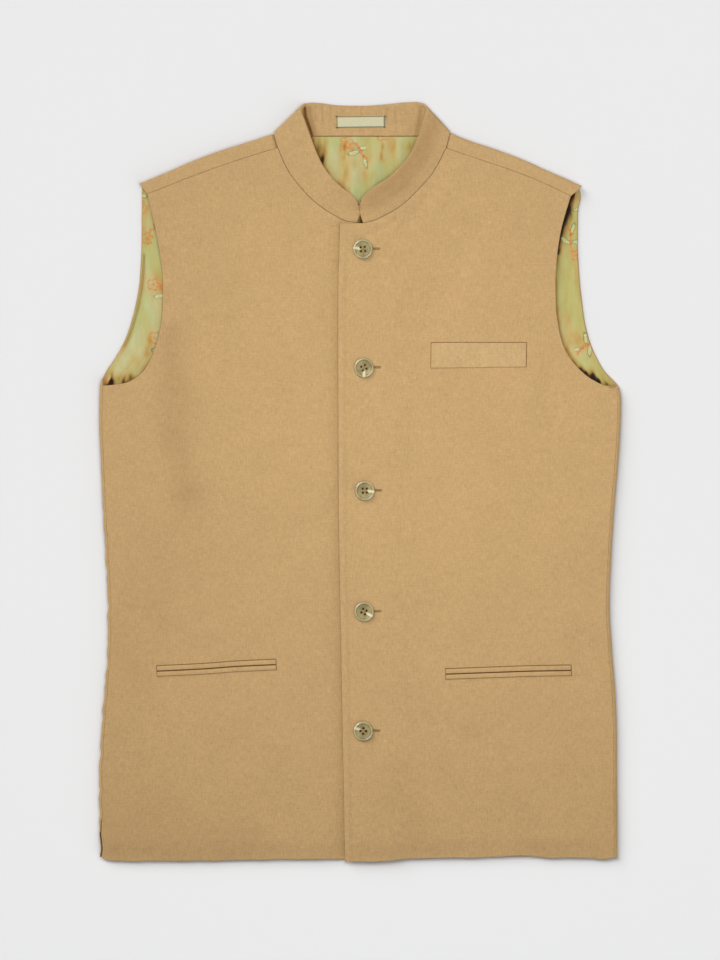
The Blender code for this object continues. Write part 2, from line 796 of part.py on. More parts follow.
def fold_station(side, angle):
    """Line of collar points across the band where it rolls over, at one angle of the roll."""
    start, end, outward, turn, line = fold_line(side)
    points = []
    for step in range(STAND_STEPS + 1):
        share = step / STAND_STEPS
        blend = ease(0.0, FOLD_TURN_SHARE, share)
        direction = outward + blend * (turn - outward)
        direction = direction / np.linalg.norm(direction)
        radius = ROLL + share * (FOLD_TOP_RADIUS - ROLL)
        crest = start + share * (end - start)
        centre = crest - radius * direction
        slide = -angle * radius * share
        place = centre + radius * math.cos(angle) * direction + slide * line
        points.append(np.array((place[0], place[1], radius + radius * math.sin(angle))))
    return points


def stand_station(side, share):
    """Line of collar points on the front, from its seam up to its free edge."""
    table = LEFT_STAND if side == "left" else RIGHT_STAND
    seams = [(row.seam_x, row.seam_y) for row in table]
    seam = along(seams, share)
    rest = smooth(chords(seams), [(row.top_x, row.top_y, row.rise) for row in table], share)
    top, rise = rest[:2], rest[2]
    inward = (top - seam) / np.linalg.norm(top - seam)
    low = seam + COLLAR_SEAM * inward
    surface = under_top if side == "left" else over_top
    level = surface(seam[0], seam[1])
    points = []
    for step in range(STAND_STEPS + 1):
        across = step / STAND_STEPS
        place = low + across * (top - low)
        height = level + rise * across + STAND_CROWN * math.sin(math.pi * across)
        points.append(np.array((place[0], place[1], height)))
    return points


def back_station(row):
    """Line of collar points on the floor behind the neck."""
    seam = np.array((row.seam_x, BACK_NECK_Y + COLLAR_SEAM))
    top = np.array((row.top_x, row.top_y))
    points = []
    for step in range(STAND_STEPS + 1):
        place = seam + (top - seam) * step / STAND_STEPS
        points.append(np.array((place[0], place[1], 0.0)))
    return points


def collar_stations():
    """Whole stand collar as lines across it, from one front end round to the other."""
    shares = [step / NECK_STEPS for step in range(NECK_STEPS + 1)]
    angles = [HALF_TURN - math.pi * step / ROLL_STEPS for step in range(ROLL_STEPS + 1)]
    left = [stand_station("left", share) for share in shares]
    left += [fold_station("left", angle) for angle in angles]
    back = [back_station(row) for row in COLLAR_BACK]
    right = [fold_station("right", angle) for angle in reversed(angles)]
    right += [stand_station("right", share) for share in reversed(shares)]
    return left + back + right


def patch_grid(corners, steps, height, extra):
    """Four-cornered patch that follows a surface."""
    across, up = steps
    places = [np.array((corner.x, corner.y)) for corner in corners]
    grid = []
    for row in range(up + 1):
        rise = row / up
        start = places[0] + rise * (places[3] - places[0])
        end = places[1] + rise * (places[2] - places[1])
        grid.append([start + (end - start) * step / across for step in range(across + 1)])
    return lifted(grid, height, extra)


def jet_grid(mouth, low, high, height, extra):
    """Narrow jet along one lip of a pocket mouth."""
    centres = [(corner.x, corner.y) for corner in mouth]
    grid = [[], []]
    for step in range(JET_STEPS + 1):
        share = step / JET_STEPS
        place = along(centres, share)
        ahead = along(centres, share + JET_LOOK) - along(centres, share - JET_LOOK)
        across = np.array((-ahead[1], ahead[0])) / np.linalg.norm(ahead)
        grid[0].append(place + low * across)
        grid[1].append(place + high * across)
    return lifted(grid, height, extra)


def surface_mesh(name, blocks):
    """Open surface through one or more grids of points, welded where they meet."""
    mesh = bpy.data.meshes.new(name)
    shape = bmesh.new()
    for rows in blocks:
        verts = [[shape.verts.new(Vector(point) * MM) for point in row] for row in rows]
        for lower, upper in zip(verts, verts[1:]):
            for first in range(len(lower) - 1):
                shape.faces.new((lower[first], lower[first + 1], upper[first + 1], upper[first]))
    bmesh.ops.remove_doubles(shape, verts=shape.verts, dist=WELD)
    shape.to_mesh(mesh)
    shape.free()
    return mesh


def make_material(name):
    """Principled material with one of the finishes."""
    finish = FINISHES[name]
    material = bpy.data.materials.new(name)
    material.use_nodes = True
    shader = material.node_tree.nodes["Principled BSDF"]
    shader.inputs["Base Color"].default_value = (finish.red, finish.green, finish.blue, 1.0)
    shader.inputs["Roughness"].default_value = finish.roughness
    shader.inputs["Metallic"].default_value = finish.metallic
    return material


def add_cloth(name, blocks, wall, material, collection):
    """Cloth piece: an open outer face, made a wall towards the inside of the garment."""
    mesh = surface_mesh(name, blocks)
    mesh.materials.append(material)
    mesh.shade_smooth()
    piece = bpy.data.objects.new(name, mesh)
    collection.objects.link(piece)
    solid = piece.modifiers.new("Wall", "SOLIDIFY")
    solid.thickness = wall * MM
    solid.offset = -1.0


def flipped(blocks):
    """Turn a surface over, so that it faces down."""
    return [[line[::-1] for line in rows] for rows in blocks]


def button_mesh():
    """Half section of a button, which the Screw modifier turns."""
    mesh = bpy.data.meshes.new("button_profile")
    points = [(turn.radius * MM, 0.0, turn.height * MM) for turn in BUTTON_PROFILE]
    edges = [(first, first + 1) for first in range(len(points) - 1)]
    mesh.from_pydata(points, edges, [])
    return mesh


def hole_cutter_mesh():
    """Four round pins that cut the thread holes."""
    shape = bmesh.new()
    for quarter in range(4):
        angle = math.pi / 4 + quarter * HALF_TURN
        pin = bmesh.ops.create_cone(
            shape, cap_ends=True, segments=HOLE_SIDES,
            radius1=HOLE_RADIUS * MM, radius2=HOLE_RADIUS * MM, depth=PIN_LENGTH * MM)
        reach = HOLE_SPACING * math.sqrt(2.0) * MM
        shift = Vector((reach * math.cos(angle), reach * math.sin(angle), 0.0))
        bmesh.ops.translate(shape, verts=pin["verts"], vec=shift)
    mesh = bpy.data.meshes.new("hole_cutter")
    shape.to_mesh(mesh)
    shape.free()
    return mesh


def add_button(index, place, profile, pins, parts, cutters):
    """Turned button with four holes, just clear of the over front."""
    name = f"button_{index}"
    button = bpy.data.objects.new(name, profile)
    button.location = Vector((place.x, place.y, over_top(place.x, place.y) + CLEARANCE)) * MM
    parts.objects.link(button)
    turn = button.modifiers.new("Turn", "SCREW")
    turn.axis = "Z"
    turn.steps = BUTTON_SEGMENTS
    turn.render_steps = BUTTON_SEGMENTS
    turn.use_merge_vertices = True
    turn.merge_threshold = WELD
    cutter = bpy.data.objects.new(name + "_holes", pins)
    cutter.location = button.location
    cutter.hide_render = True
    cutter.display_type = "WIRE"
    cutters.objects.link(cutter)
    holes = button.modifiers.new("Holes", "BOOLEAN")
    holes.operation = "DIFFERENCE"
    holes.solver = "EXACT"
    holes.object = cutter


def build():
    """Make every piece of the gilet."""
    clear_scene()
    parts = bpy.data.collections.new(OBJECT_NAME)
    cutters = bpy.data.collections.new(OBJECT_NAME + "_cutters")
    bpy.context.scene.collection.children.link(parts)
    bpy.context.scene.collection.children.link(cutters)
    finish = {name: make_material(name) for name in FINISHES}

    cloth = finish["cloth"]
    add_cloth("back_panel", flipped(back_blocks()), BACK_WALL, cloth, parts)
    add_cloth("back_right_shoulder", flipped(shoulder_blocks("left")), BACK_WALL, cloth, parts)
    add_cloth("back_left_shoulder", flipped(shoulder_blocks("right")), BACK_WALL, cloth, parts)
    add_cloth("back_lining", flipped(lining_blocks()), LINING_WALL, finish["lining"], parts)
    add_cloth("front_right", right_front_blocks(), FRONT_WALL, cloth, parts)
    add_cloth("front_left", left_front_blocks(), FRONT_WALL, cloth, parts)
    add_cloth("collar", [collar_stations()], COLLAR_WALL, cloth, parts)

    on_front = CLEARANCE + WELT_WALL
    welt = patch_grid(WELT_CORNERS, WELT_STEPS, over_top, on_front)
    add_cloth("breast_welt", [welt], WELT_WALL, cloth, parts)
    half_gap = MOUTH_GAP / 2
    reach = half_gap + JET_DEPTH
    pockets = (("left", LEFT_MOUTH, over_top), ("right", RIGHT_MOUTH, under_top))
    for side, mouth, surface in pockets:
        upper = jet_grid(mouth, half_gap, reach, surface, CLEARANCE + JET_WALL)
        lower = jet_grid(mouth, -reach, -half_gap, surface, CLEARANCE + JET_WALL)
        add_cloth(f"{side}_pocket_upper_jet", [upper], JET_WALL, cloth, parts)
        add_cloth(f"{side}_pocket_lower_jet", [lower], JET_WALL, cloth, parts)

    label_level = COLLAR_WALL + CLEARANCE + LABEL_WALL
    label = patch_grid(LABEL_CORNERS, LABEL_STEPS, lambda x, y: label_level, 0.0)
    add_cloth("label", [label], LABEL_WALL, finish["label"], parts)

    profile = button_mesh()
    profile.materials.append(finish["horn"])
    pins = hole_cutter_mesh()
    for index, place in enumerate(BUTTONS, start=1):
        add_button(index, place, profile, pins, parts, cutters)


build()
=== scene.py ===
"""Looks of the flat-laid gilet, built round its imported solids.

Each cloth piece is a thin closed shell on the form of its solid, with turned edges that
are rounded off, seams, soft folds and puckers.  Sizes are in millimetres up to the
point where a mesh is made.  Left and right in tables and functions are as seen from
above; pieces are named for the wearer's sides.
"""
import math
from collections import namedtuple

import bmesh
import bpy
import numpy as np
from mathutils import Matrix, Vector


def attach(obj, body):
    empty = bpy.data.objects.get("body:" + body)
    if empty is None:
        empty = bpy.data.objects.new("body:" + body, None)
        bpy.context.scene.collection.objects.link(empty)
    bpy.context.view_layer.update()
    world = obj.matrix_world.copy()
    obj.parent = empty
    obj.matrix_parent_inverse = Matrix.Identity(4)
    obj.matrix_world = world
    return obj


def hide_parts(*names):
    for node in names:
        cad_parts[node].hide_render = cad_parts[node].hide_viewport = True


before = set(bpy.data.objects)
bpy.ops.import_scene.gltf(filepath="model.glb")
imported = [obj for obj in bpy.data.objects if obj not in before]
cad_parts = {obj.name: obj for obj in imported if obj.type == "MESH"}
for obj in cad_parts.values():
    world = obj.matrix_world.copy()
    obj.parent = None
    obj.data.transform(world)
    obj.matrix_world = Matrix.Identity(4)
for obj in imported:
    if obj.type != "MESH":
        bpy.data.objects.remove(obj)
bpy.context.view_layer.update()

MM = 0.001
WELD = 0.000002
HALF_TURN = math.pi / 2


def table(kind, rows):
    """Rows of numbers as named tuples of one kind."""
    return tuple(kind(*row) for row in rows)


# Walls, gaps, levels and insets of the cloth
BACK_WALL = 1.4
LINING_WALL = 0.8
FRONT_WALL = 2.0
COLLAR_WALL = 2.4
CLEARANCE = 0.3
SEAM = 0.06
COLLAR_SEAM = 0.06
ROLL = 4.0
FLAT_TOP = 2.0 * ROLL
EDGE_BAND = 0.4
SIDE_STRIP = EDGE_BAND + math.pi * ROLL
HEM_Y = -387.0
VENT_Y = -351.0
VENT_BLEND = 6.0
VENT_SHIFT = 1.2
UNDERARM_Y = 99.0
CURL_LENGTH = 16.0
TOP_ROW_Y = 240.0
BACK_NECK_Y = 356.9
NECK_CORNER_SLOPE = 0.1
LINING_HEM_INSET = 18.0
LINING_STRIP = 32.0
LINING_EDGE_INSET = 0.5
LINING_SIDE_INSET = 10.0
LINING_SIDE_BLEND = 30.0
LINING_TOP_INSET = 0.6

# Rows of the fronts, counted as in the solids
LOWER_ROWS = 14
FRONT_ARMHOLE_ROWS = 6
NECK_STEPS = 8
CORNER_ROW = LOWER_ROWS + FRONT_ARMHOLE_ROWS
FIRST_NECK_ROW = CORNER_ROW + 1
TOTAL_ROWS = FIRST_NECK_ROW + NECK_STEPS
HEM_DROOP = 2.2
HEM_DROOP_REACH = 22.0
FREE_ROUND = 0.9
SEAM_ROUND = 0.6
TURNED_EDGE = 9.0
HEM_PULL_POWER = 30
SEAM_PULL_POWER = 12
UNDER_EDGE_X = 24.0
UNDER_CORNER_Y = 263.0
OVERLAP_DIP = 1.0
OVERLAP_LIFT = 1.5
DIP_REACH = 22.0
EDGE_CREASE = 1.25
EDGE_RIDGE = 0.85
EDGE_GROOVE = 0.45
EDGE_CREASE_PLACE = 0.5
EDGE_CREASE_WIDTH = 6.5
EDGE_CREASE_FADE = (272.0, 262.0)
EDGE_RIDGE_PLACE = 4.8
EDGE_RIDGE_WIDTH = 3.6
EDGE_GROOVE_PLACE = 8.4
EDGE_GROOVE_WIDTH = 1.9
PRESS_DEPTH = 0.35
PRESS_WIDTH = 12.0
TIP_BULGE = 3.4
LIFT_START = 26.0
LIFT_END = 62.0
CALM_INNER = 26.0
CALM_OUTER = 46.0
CALM_CENTRE_X = 2.0
LEFT_SEAM_ANGLE = math.radians(68.0)
LEFT_VENT_DROP = math.radians(48.0)
RIGHT_SEAM_ANGLE = math.radians(-20.0)
RIGHT_SEAM_HALF_GAP = math.radians(9.0)
RIGHT_VENT_HALF_GAP = math.radians(14.0)

Side = namedtuple("Side", "y left right")
SIDES = table(Side, (
    (-388.0, -267.2, 265.8), (-351.0, -268.4, 265.8), (-307.0, -268.7, 265.4),
    (-266.0, -266.9, 265.3), (-225.0, -264.1, 264.1), (-173.0, -260.0, 260.2),
    (-127.0, -259.7, 257.7), (-80.0, -261.8, 259.4), (-24.0, -265.0, 262.9),
    (22.0, -267.0, 266.8), (64.0, -268.6, 269.2), (84.0, -268.4, 269.6), (99.0, -267.9, 267.4),
))
BackArmhole = namedtuple("BackArmhole", "y left right")
BACK_ARMHOLES = table(BackArmhole, (
    (99.0, -267.9, 267.4), (105.0, -266.4, 262.5), (115.0, -261.5, 252.6),
    (126.0, -254.0, 246.0), (146.0, -242.8, 237.4), (167.0, -235.5, 232.2),
    (188.0, -230.4, 229.4), (208.0, -227.4, 227.2), (240.0, -225.4, 225.2),
))
FrontArmhole = namedtuple("FrontArmhole", "left_x left_y right_x right_y")
FRONT_ARMHOLES = table(FrontArmhole, (
    (-263.9, 99.4, 262.2, 98.0), (-257.2, 99.6, 257.0, 98.4), (-242.0, 101.8, 239.9, 105.2),
    (-227.4, 109.5, 226.2, 116.2), (-218.0, 121.3, 212.4, 134.7),
    (-210.3, 138.8, 205.7, 155.3), (-203.2, 178.0, 202.3, 181.1),
    (-203.0, 203.7, 201.8, 203.3), (-205.2, 229.0, 203.2, 229.0),
    (-211.2, 263.5, 206.6, 254.6), (-218.8, 296.4, 217.3, 294.4),
))
Shoulder = namedtuple("Shoulder", "fold_x fold_y seam_x seam_y")
SHOULDERS = {
    "left": table(Shoulder, (
        (-227.4, 307.3, -218.8, 296.4), (-194.4, 321.2, -188.0, 308.7),
        (-170.7, 331.5, -165.5, 317.4), (-142.9, 341.8, -138.5, 327.0),
        (-110.0, 352.1, -106.5, 337.5), (-88.3, 359.3, -84.5, 344.1),
    )),
    "right": table(Shoulder, (
        (228.2, 305.0, 217.3, 294.4), (216.6, 310.9, 208.5, 298.8),
        (192.9, 321.2, 187.5, 308.6), (170.2, 331.5, 165.0, 317.8),
        (143.4, 341.8, 138.5, 327.1), (112.5, 352.1, 108.0, 337.3), (92.4, 360.3, 89.0, 343.8),
    )),
}
Stand = namedtuple("Stand", "seam_x seam_y top_x top_y rise")
STANDS = {
    "left": table(Stand, (
        (-2.6, 266.9, -1.2, 287.5, 4.6), (-12.0, 268.0, -7.0, 294.4, 5.4),
        (-25.5, 274.2, -15.5, 300.5, 6.0), (-45.1, 287.2, -27.5, 311.3, 6.0),
        (-61.3, 303.6, -38.5, 326.5, 5.4), (-75.1, 322.8, -46.0, 343.0, 4.3),
        (-84.5, 344.1, -52.5, 361.0, 2.6),
    )),
    "right": table(Stand, (
        (3.7, 266.4, -0.3, 288.9, 4.8), (12.0, 268.2, 6.5, 296.0, 5.6),
        (23.0, 272.8, 14.0, 302.4, 6.2), (40.7, 283.0, 27.2, 310.9, 6.4),
        (60.0, 300.6, 40.6, 323.0, 5.8), (76.5, 320.1, 52.0, 337.5, 4.6),
        (89.0, 343.8, 60.5, 356.5, 2.6),
    )),
}
STAND_CROWN = 0.7
FOLD_TOPS = {"left": (-58.5, 389.9), "right": (66.8, 390.2)}
FOLD_START_SHIFTS = {"left": (-0.8, 0.8), "right": (1.1, 1.2)}
FOLD_TOP_RADIUS = 4.5
FOLD_TURN_SHARE = 0.35
CollarBack = namedtuple("CollarBack", "seam_x top_x top_y")
COLLAR_BACK = table(CollarBack, (
    (-70.0, -38.0, 390.9), (-46.0, -26.0, 389.1), (-22.0, -12.0, 388.3), (2.0, 2.0, 388.2),
    (26.0, 17.0, 388.9), (50.0, 32.0, 390.3), (74.0, 46.0, 391.8),
))
Edge = namedtuple("Edge", "y x")
FRONT_EDGE = table(Edge, (
    (-391.5, -15.2), (-225.0, -18.3), (-120.0, -20.3), (-20.0, -21.9), (190.0, -22.4),
    (265.9, -20.3),
))
Hem = namedtuple("Hem", "x y")
UNDER_HEM = table(Hem, (
    (-266.0, -388.0), (-252.0, -391.2), (-164.0, -390.9), (-62.0, -389.2), (24.0, -389.6),
))
OVER_HEM = table(Hem, (
    (-15.2, -391.5), (10.6, -391.8), (36.0, -390.1), (72.0, -388.2), (124.0, -387.6),
    (165.0, -385.6), (196.0, -387.8), (237.0, -388.0), (252.0, -389.4), (260.0, -388.0),
))

# Soft troughs (depth below zero) and ridges along short paths
Fold = namedtuple("Fold", "depth width path")
FRONT_FOLDS = table(Fold, (
    (0.80, 7.0, ((-100, 44), (-72, 46), (-50, 43))), (-0.70, 11.0, ((-84, -50), (-40, -56))),
    (-2.55, 20.0, ((-200, 218), (-190, 156), (-190, 33), (-170, -50))),
    (0.90, 13.0, ((-217, 98), (-212, 55))), (0.75, 16.0, ((-162, 172), (-158, 118))),
    (-1.20, 13.0, ((-205, 282), (-199, 240))), (-1.20, 14.0, ((-134, 196), (-126, 172))),
    (1.20, 15.0, ((108, 326), (83, 290))), (-1.05, 12.0, ((48, 266), (66, 285), (80, 308))),
    (-1.80, 22.0, ((114, 259), (88, 205), (74, 156))), (-1.20, 15.0, ((193, 120), (196, 62))),
    (-0.90, 16.0, ((52, 62), (50, 20))), (-0.75, 16.0, ((224, -163), (240, -204))),
    (-0.75, 18.0, ((72, -245), (124, -266))), (-0.90, 14.0, ((-246, -122), (-211, -147))),
    (-0.75, 15.0, ((-228, -225), (-214, -247))),
))
# Painted shade on the fronts: darker places along the slack cloth, where its soft folds turn from
# the light
FRONT_PAINTED_SHADES = table(Fold, (
    (0.12, 25.0, ((-193, 150), (-190, 110), (-186, 30), (-176, -10))),
    (0.05, 34.0, ((-170, -20), (-150, -70))), (0.05, 50.0, ((-215, -60), (-200, -160))),
    (0.08, 58.0, ((-255, -365), (-130, -385))), (0.06, 20.0, ((-258, -150), (-230, -200))),
    (0.06, 26.0, ((40, -300), (60, -360))),
))
LINING_FOLDS = table(Fold, (
    (0.9, 9.0, ((-58, 352), (-62, 300))), (1.6, 9.0, ((-29, 350), (-33, 275))),
    (1.8, 9.0, ((-8, 352), (-6, 268))), (1.5, 10.0, ((18, 350), (14, 280))),
    (1.6, 9.0, ((40, 352), (44, 290))), (0.9, 9.0, ((64, 350), (70, 305))),
    (1.1, 6.0, ((-252, 106), (-243, 125))), (0.9, 6.0, ((-236, 112), (-226, 134))),
    (1.1, 6.0, ((246, 105), (237, 122))), (0.9, 6.0, ((230, 116), (220, 138))),
))
# Small creases that only the looks have: at the buttons, pockets and underarms
FINE_FOLDS = table(Fold, (
    (-0.75, 4.0, ((40, 272), (26, 260), (14, 254.5), (0, 252.5), (-16, 256))),
    (0.35, 4.0, ((30, 273), (12, 262), (-6, 260))),
    (-0.50, 3.5, ((-40, 262), (-24, 262), (-16, 260))),
    (0.30, 5.0, ((96, 352), (88, 320), (70, 292))), (-0.30, 3.0, ((-34, 242), (-12, 241))),
    (-0.30, 3.0, ((-36, 119), (-10, 117))), (-0.28, 3.0, ((-36, -6), (-9, -8))),
    (-0.28, 3.0, ((-36, -131), (-9, -133))), (-0.28, 3.0, ((-34, -255), (-9, -257))),
    (-0.22, 4.0, ((60, 142), (64, 116))), (-0.25, 4.0, ((80, -207), (230, -203))),
    (-0.25, 4.0, ((-215, -206), (-80, -198))), (-0.25, 5.0, ((-226, -176), (-214, -190))),
    (-0.25, 5.0, ((228, -184), (240, -176))), (0.25, 4.0, ((-258, 90), (-238, 93))),
    (-0.30, 5.0, ((-246, 86), (-226, 78))), (0.25, 5.0, ((250, 86), (230, 92))),
))
FOLD_SIDE_MARGIN = (5.0, 24.0)
FOLD_SHOULDER_MARGIN = (1.0, 18.0)
# Fine lining puckers: pulled in along the neck seam and at the underarms
LINING_PUCKERS = table(Fold, (
    (0.55, 2.6, ((-40, 357), (-42, 330))), (0.50, 2.2, ((-18, 357), (-19, 338))),
    (0.60, 2.4, ((3, 357), (2, 322))), (0.50, 2.4, ((27, 357), (24, 334))),
    (0.55, 2.4, ((52, 357), (55, 332))), (0.8, 2.2, ((-259, 104), (-250, 116))),
    (0.8, 2.0, ((-250, 101), (-242, 114))), (0.8, 2.2, ((-243, 103), (-236, 120))),
    (0.7, 2.2, ((-230, 110), (-222, 128))), (0.8, 2.0, ((257, 101), (251, 110))),
    (0.8, 2.0, ((250, 102), (244, 112))), (0.8, 2.2, ((238, 107), (231, 122))),
    (0.6, 2.4, ((224, 118), (216, 140))),
))
# Faint vertical puckers inside the back of the collar
COLLAR_PUCKERS = table(Fold, (
    (0.35, 1.6, ((-47, 388), (-46, 372))), (0.35, 1.6, ((-41, 388), (-40, 370))),
    (0.30, 1.5, ((-33, 387), (-33, 374))), (0.25, 1.5, ((-18, 386), (-18, 378))),
    (0.25, 1.6, ((26, 387), (25, 372))), (0.25, 1.6, ((33, 387), (34, 366))),
    (0.30, 1.6, ((41, 388), (42, 370))), (-0.45, 0.7, ((1.6, 392), (2.0, 356))),
))
# Shade in the creases where the collar folds inwards at the back of the neck
CREASE_SHADES = table(Fold, (
    (1.3, 2.0, ((-57.0, 386), (-56.0, 377), (-52.0, 366), (-49.0, 356))),
    (0.35, 4.5, ((-52.0, 386), (-51.0, 376), (-46.0, 358))),
    (0.45, 1.6, ((63.0, 387), (61.0, 372), (57.5, 357))),
    (0.25, 0.8, ((1.8, 390), (2.0, 357))), (0.22, 1.3, ((-46, 388), (-45, 374))),
    (0.22, 1.3, ((-39, 388), (-38, 372))), (0.18, 1.2, ((-30, 387), (-30, 376))),
    (0.20, 1.2, ((36, 387), (37, 370))), (0.18, 1.2, ((28, 387), (28, 374))),
))
# Shade on the outside of the stand, which leans away from the light on the right
STAND_SHADES = table(Fold, (
    (0.27, 17.0, ((12, 292), (40, 309), (60, 334), (72, 368))),
    (0.07, 12.0, ((-4, 288), (-24, 300))),
))

Corner = namedtuple("Corner", "x y")
WELT_CORNERS = table(Corner, (
    (73.4, 117.0), (171.2, 118.3), (171.8, 143.2), (73.8, 143.2),
))
MOUTHS = {
    "left": table(Corner, (
        (88.6, -198.2), (134.2, -196.5), (175.4, -195.1), (217.6, -194.3),
    )),
    "right": table(Corner, (
        (-208.8, -195.1), (-157.3, -192.5), (-127.8, -190.3), (-86.3, -188.3),
    )),
}
JET_DEPTH = 5.0
JET_WALL = 1.2
JET_ROUND = 0.6
JET_LIFT = 0.75
JET_CROWN = 0.35
MOUTH_GAP = 0.8
LABEL_CORNERS = table(Corner, (
    (-23.6, 365.6), (25.6, 366.2), (26.3, 377.3), (-23.8, 376.9),
))
# Buttons: place, how far the square of holes is turned, and where the painted highlight streak lies
Button = namedtuple("Button", "x y turn streak")
BUTTONS = table(Button, (
    (3.2, 239.5, 4.0, 172.0), (4.3, 117.4, 25.0, -90.0), (5.2, -9.2, 2.0, -6.0),
    (4.4, -133.7, -27.0, -28.0), (3.6, -256.6, 42.0, 158.0),
))
Turn = namedtuple("Turn", "radius height")
BUTTON_PROFILE = table(Turn, (
    (0.0, 1.55), (2.6, 1.58), (4.6, 1.72), (6.2, 2.05), (7.1, 2.45), (7.5, 2.30), (7.9, 2.75),
    (8.4, 3.15), (8.8, 3.22), (9.2, 3.05), (9.6, 2.72), (9.95, 2.20), (10.2, 1.50),
    (10.35, 0.90), (10.2, 0.6), (9.4, 0.45), (8.4, 0.15), (7.4, 0.0), (0.0, 0.0),
))
BUTTON_SEGMENTS = 64
HOLE_RADIUS = 1.6
HOLE_SPACING = 2.05
PROFILE_STEPS = 60
BUTTON_LIFT = 0.15
# Thread crossed over the holes: share of the way to them, level and radius
CROSS_SHARE = 0.62
CROSS_LEVEL = 1.50
CROSS_RADIUS = 0.32
# Where the buttonhole shows beside its button: from the centre, and how far above it
HOLE_START = 8.4
HOLE_END = 17.2
HOLE_RISE = 0.5
# Steps between its edge stitches, its bar stitches and the dark ones that paint shade in its slit
HOLE_STEP = 0.55
HOLE_BAR_STEP = 0.6
HOLE_SLIT_STEP = 1.2


def ease(low, high, value):
    """Smooth step from 0 at low to 1 at high, which may be the smaller number."""
    share = np.clip((np.asarray(value, float) - low) / (high - low), 0.0, 1.0)
    return share * share * (3.0 - 2.0 * share)


def bell(away, width):
    """Bell curve: 1 in its middle, fading over its width."""
    return np.exp(-(away / width) ** 2)


def level_slopes(knots, values):
    """Slope at each row of a table, level at a turn, so that no curve overshoots."""
    steps = np.diff(knots)[:, None]
    rises = np.diff(values, axis=0) / steps
    found = np.zeros_like(values)
    found[0] = rises[0]
    found[-1] = rises[-1]
    for row in range(1, len(knots) - 1):
        before, after = rises[row - 1], rises[row]
        together = before * after > 0
        near = 2.0 * steps[row] + steps[row - 1]
        far = steps[row] + 2.0 * steps[row - 1]
        safe_before = np.where(together, before, 1.0)
        safe_after = np.where(together, after, 1.0)
        mean = (near + far) / (near / safe_before + far / safe_after)
        found[row] = np.where(together, mean, 0.0)
    return found


class Curve:
    """Smooth curve through the rows of a table, held at its ends."""

    def __init__(self, knots, values):
        self.knots = np.asarray(knots, float)
        self.values = np.asarray(values, float).reshape(len(self.knots), -1)
        self.slopes = level_slopes(self.knots, self.values)

    def __call__(self, at):
        at = np.clip(np.asarray(at, float), self.knots[0], self.knots[-1])
        row = np.searchsorted(self.knots, at, side="right") - 1
        row = np.clip(row, 0, len(self.knots) - 2)
        width = (self.knots[row + 1] - self.knots[row])[..., None]
        share = ((at - self.knots[row]) / width[..., 0])[..., None]
        start = (1 + 2 * share) * (1 - share) ** 2 * self.values[row]
        start_slope = share * (1 - share) ** 2 * width * self.slopes[row]
        end = share ** 2 * (3 - 2 * share) * self.values[row + 1]
        end_slope = share ** 2 * (share - 1) * width * self.slopes[row + 1]
        return start + start_slope + end + end_slope


def column(rows, name):
    """One named column of a table."""
    return [getattr(row, name) for row in rows]


def line_length(rows, x, y):
    """Length of a line through the rows of a table, from the names of two columns."""
    return float(np.sum(np.hypot(np.diff(column(rows, x)), np.diff(column(rows, y)))))


def chords(points):
    """Share of the way along a row of points, from 0 to 1."""
    steps = np.linalg.norm(np.diff(np.asarray(points, float), axis=0), axis=1)
    lengths = np.concatenate(([0.0], np.cumsum(steps)))
    return lengths / lengths[-1]


def path_curve(points):
    """Curve through points by the share of the way along them."""
    return Curve(chords(points), points)


def line_through(rows, place, value):
    """One column of a table as a function of another."""
    curve = Curve(column(rows, place), column(rows, value))
    return lambda at: curve(at)[..., 0]


SIDE_X = {side: line_through(SIDES, "y", side) for side in ("left", "right")}
BACK_EDGE_X = {side: line_through(BACK_ARMHOLES, "y", side) for side in ("left", "right")}
FRONT_EDGE_X = line_through(FRONT_EDGE, "y", "x")
HEM_CURVES = {
    "left": line_through(UNDER_HEM, "x", "y"),
    "right": line_through(OVER_HEM, "x", "y"),
}


def shoulder_curves(side):
    """Fold and seam of a shoulder, both by the share along the fold from tip to neck."""
    rows = SHOULDERS[side]
    folds = [(row.fold_x, row.fold_y) for row in rows]
    seams = [(row.seam_x, row.seam_y) for row in rows]
    knots = chords(folds)
    return Curve(knots, folds), Curve(knots, seams)


SHOULDER_CURVES = {side: shoulder_curves(side) for side in SHOULDERS}
SHOULDER_LENGTHS = {side: line_length(SHOULDERS[side], "fold_x", "fold_y") for side in SHOULDERS}


# Shoulder seams as height against width
SEAM_LEVELS = {
    side: line_through(sorted(SHOULDERS[side], key=lambda row: row.seam_x), "seam_x", "seam_y")
    for side in SHOULDERS
}
NECK_ENDS = {side: abs(SHOULDERS[side][-1].seam_x) for side in SHOULDERS}
NECK_SEAMS = {
    side: path_curve([(row.seam_x, row.seam_y) for row in STANDS[side]]) for side in STANDS
}


def roll_frame(side, share):
    """Centre of the shoulder's roll and the direction square to the fold, in plan."""
    fold_curve, seam_curve = SHOULDER_CURVES[side]
    fold, seam = fold_curve(share), seam_curve(share)
    outward = fold - seam
    outward = outward / np.linalg.norm(outward, axis=-1, keepdims=True)
    return fold - ROLL * outward, outward


def fold_height(folds, x, y):
    """Height that soft folds add at places: each is a rounded trough or ridge."""
    total = np.zeros(np.shape(x))
    for fold in folds:
        nearest = np.full(np.shape(x), np.inf)
        for first, second in zip(fold.path, fold.path[1:]):
            run_x, run_y = second[0] - first[0], second[1] - first[1]
            share = ((x - first[0]) * run_x + (y - first[1]) * run_y) / (run_x ** 2 + run_y ** 2)
            share = np.clip(share, 0.0, 1.0)
            away = np.hypot(x - first[0] - share * run_x, y - first[1] - share * run_y)
            nearest = np.minimum(nearest, away)
        total += fold.depth * bell(nearest, fold.width) ** 2
    return total


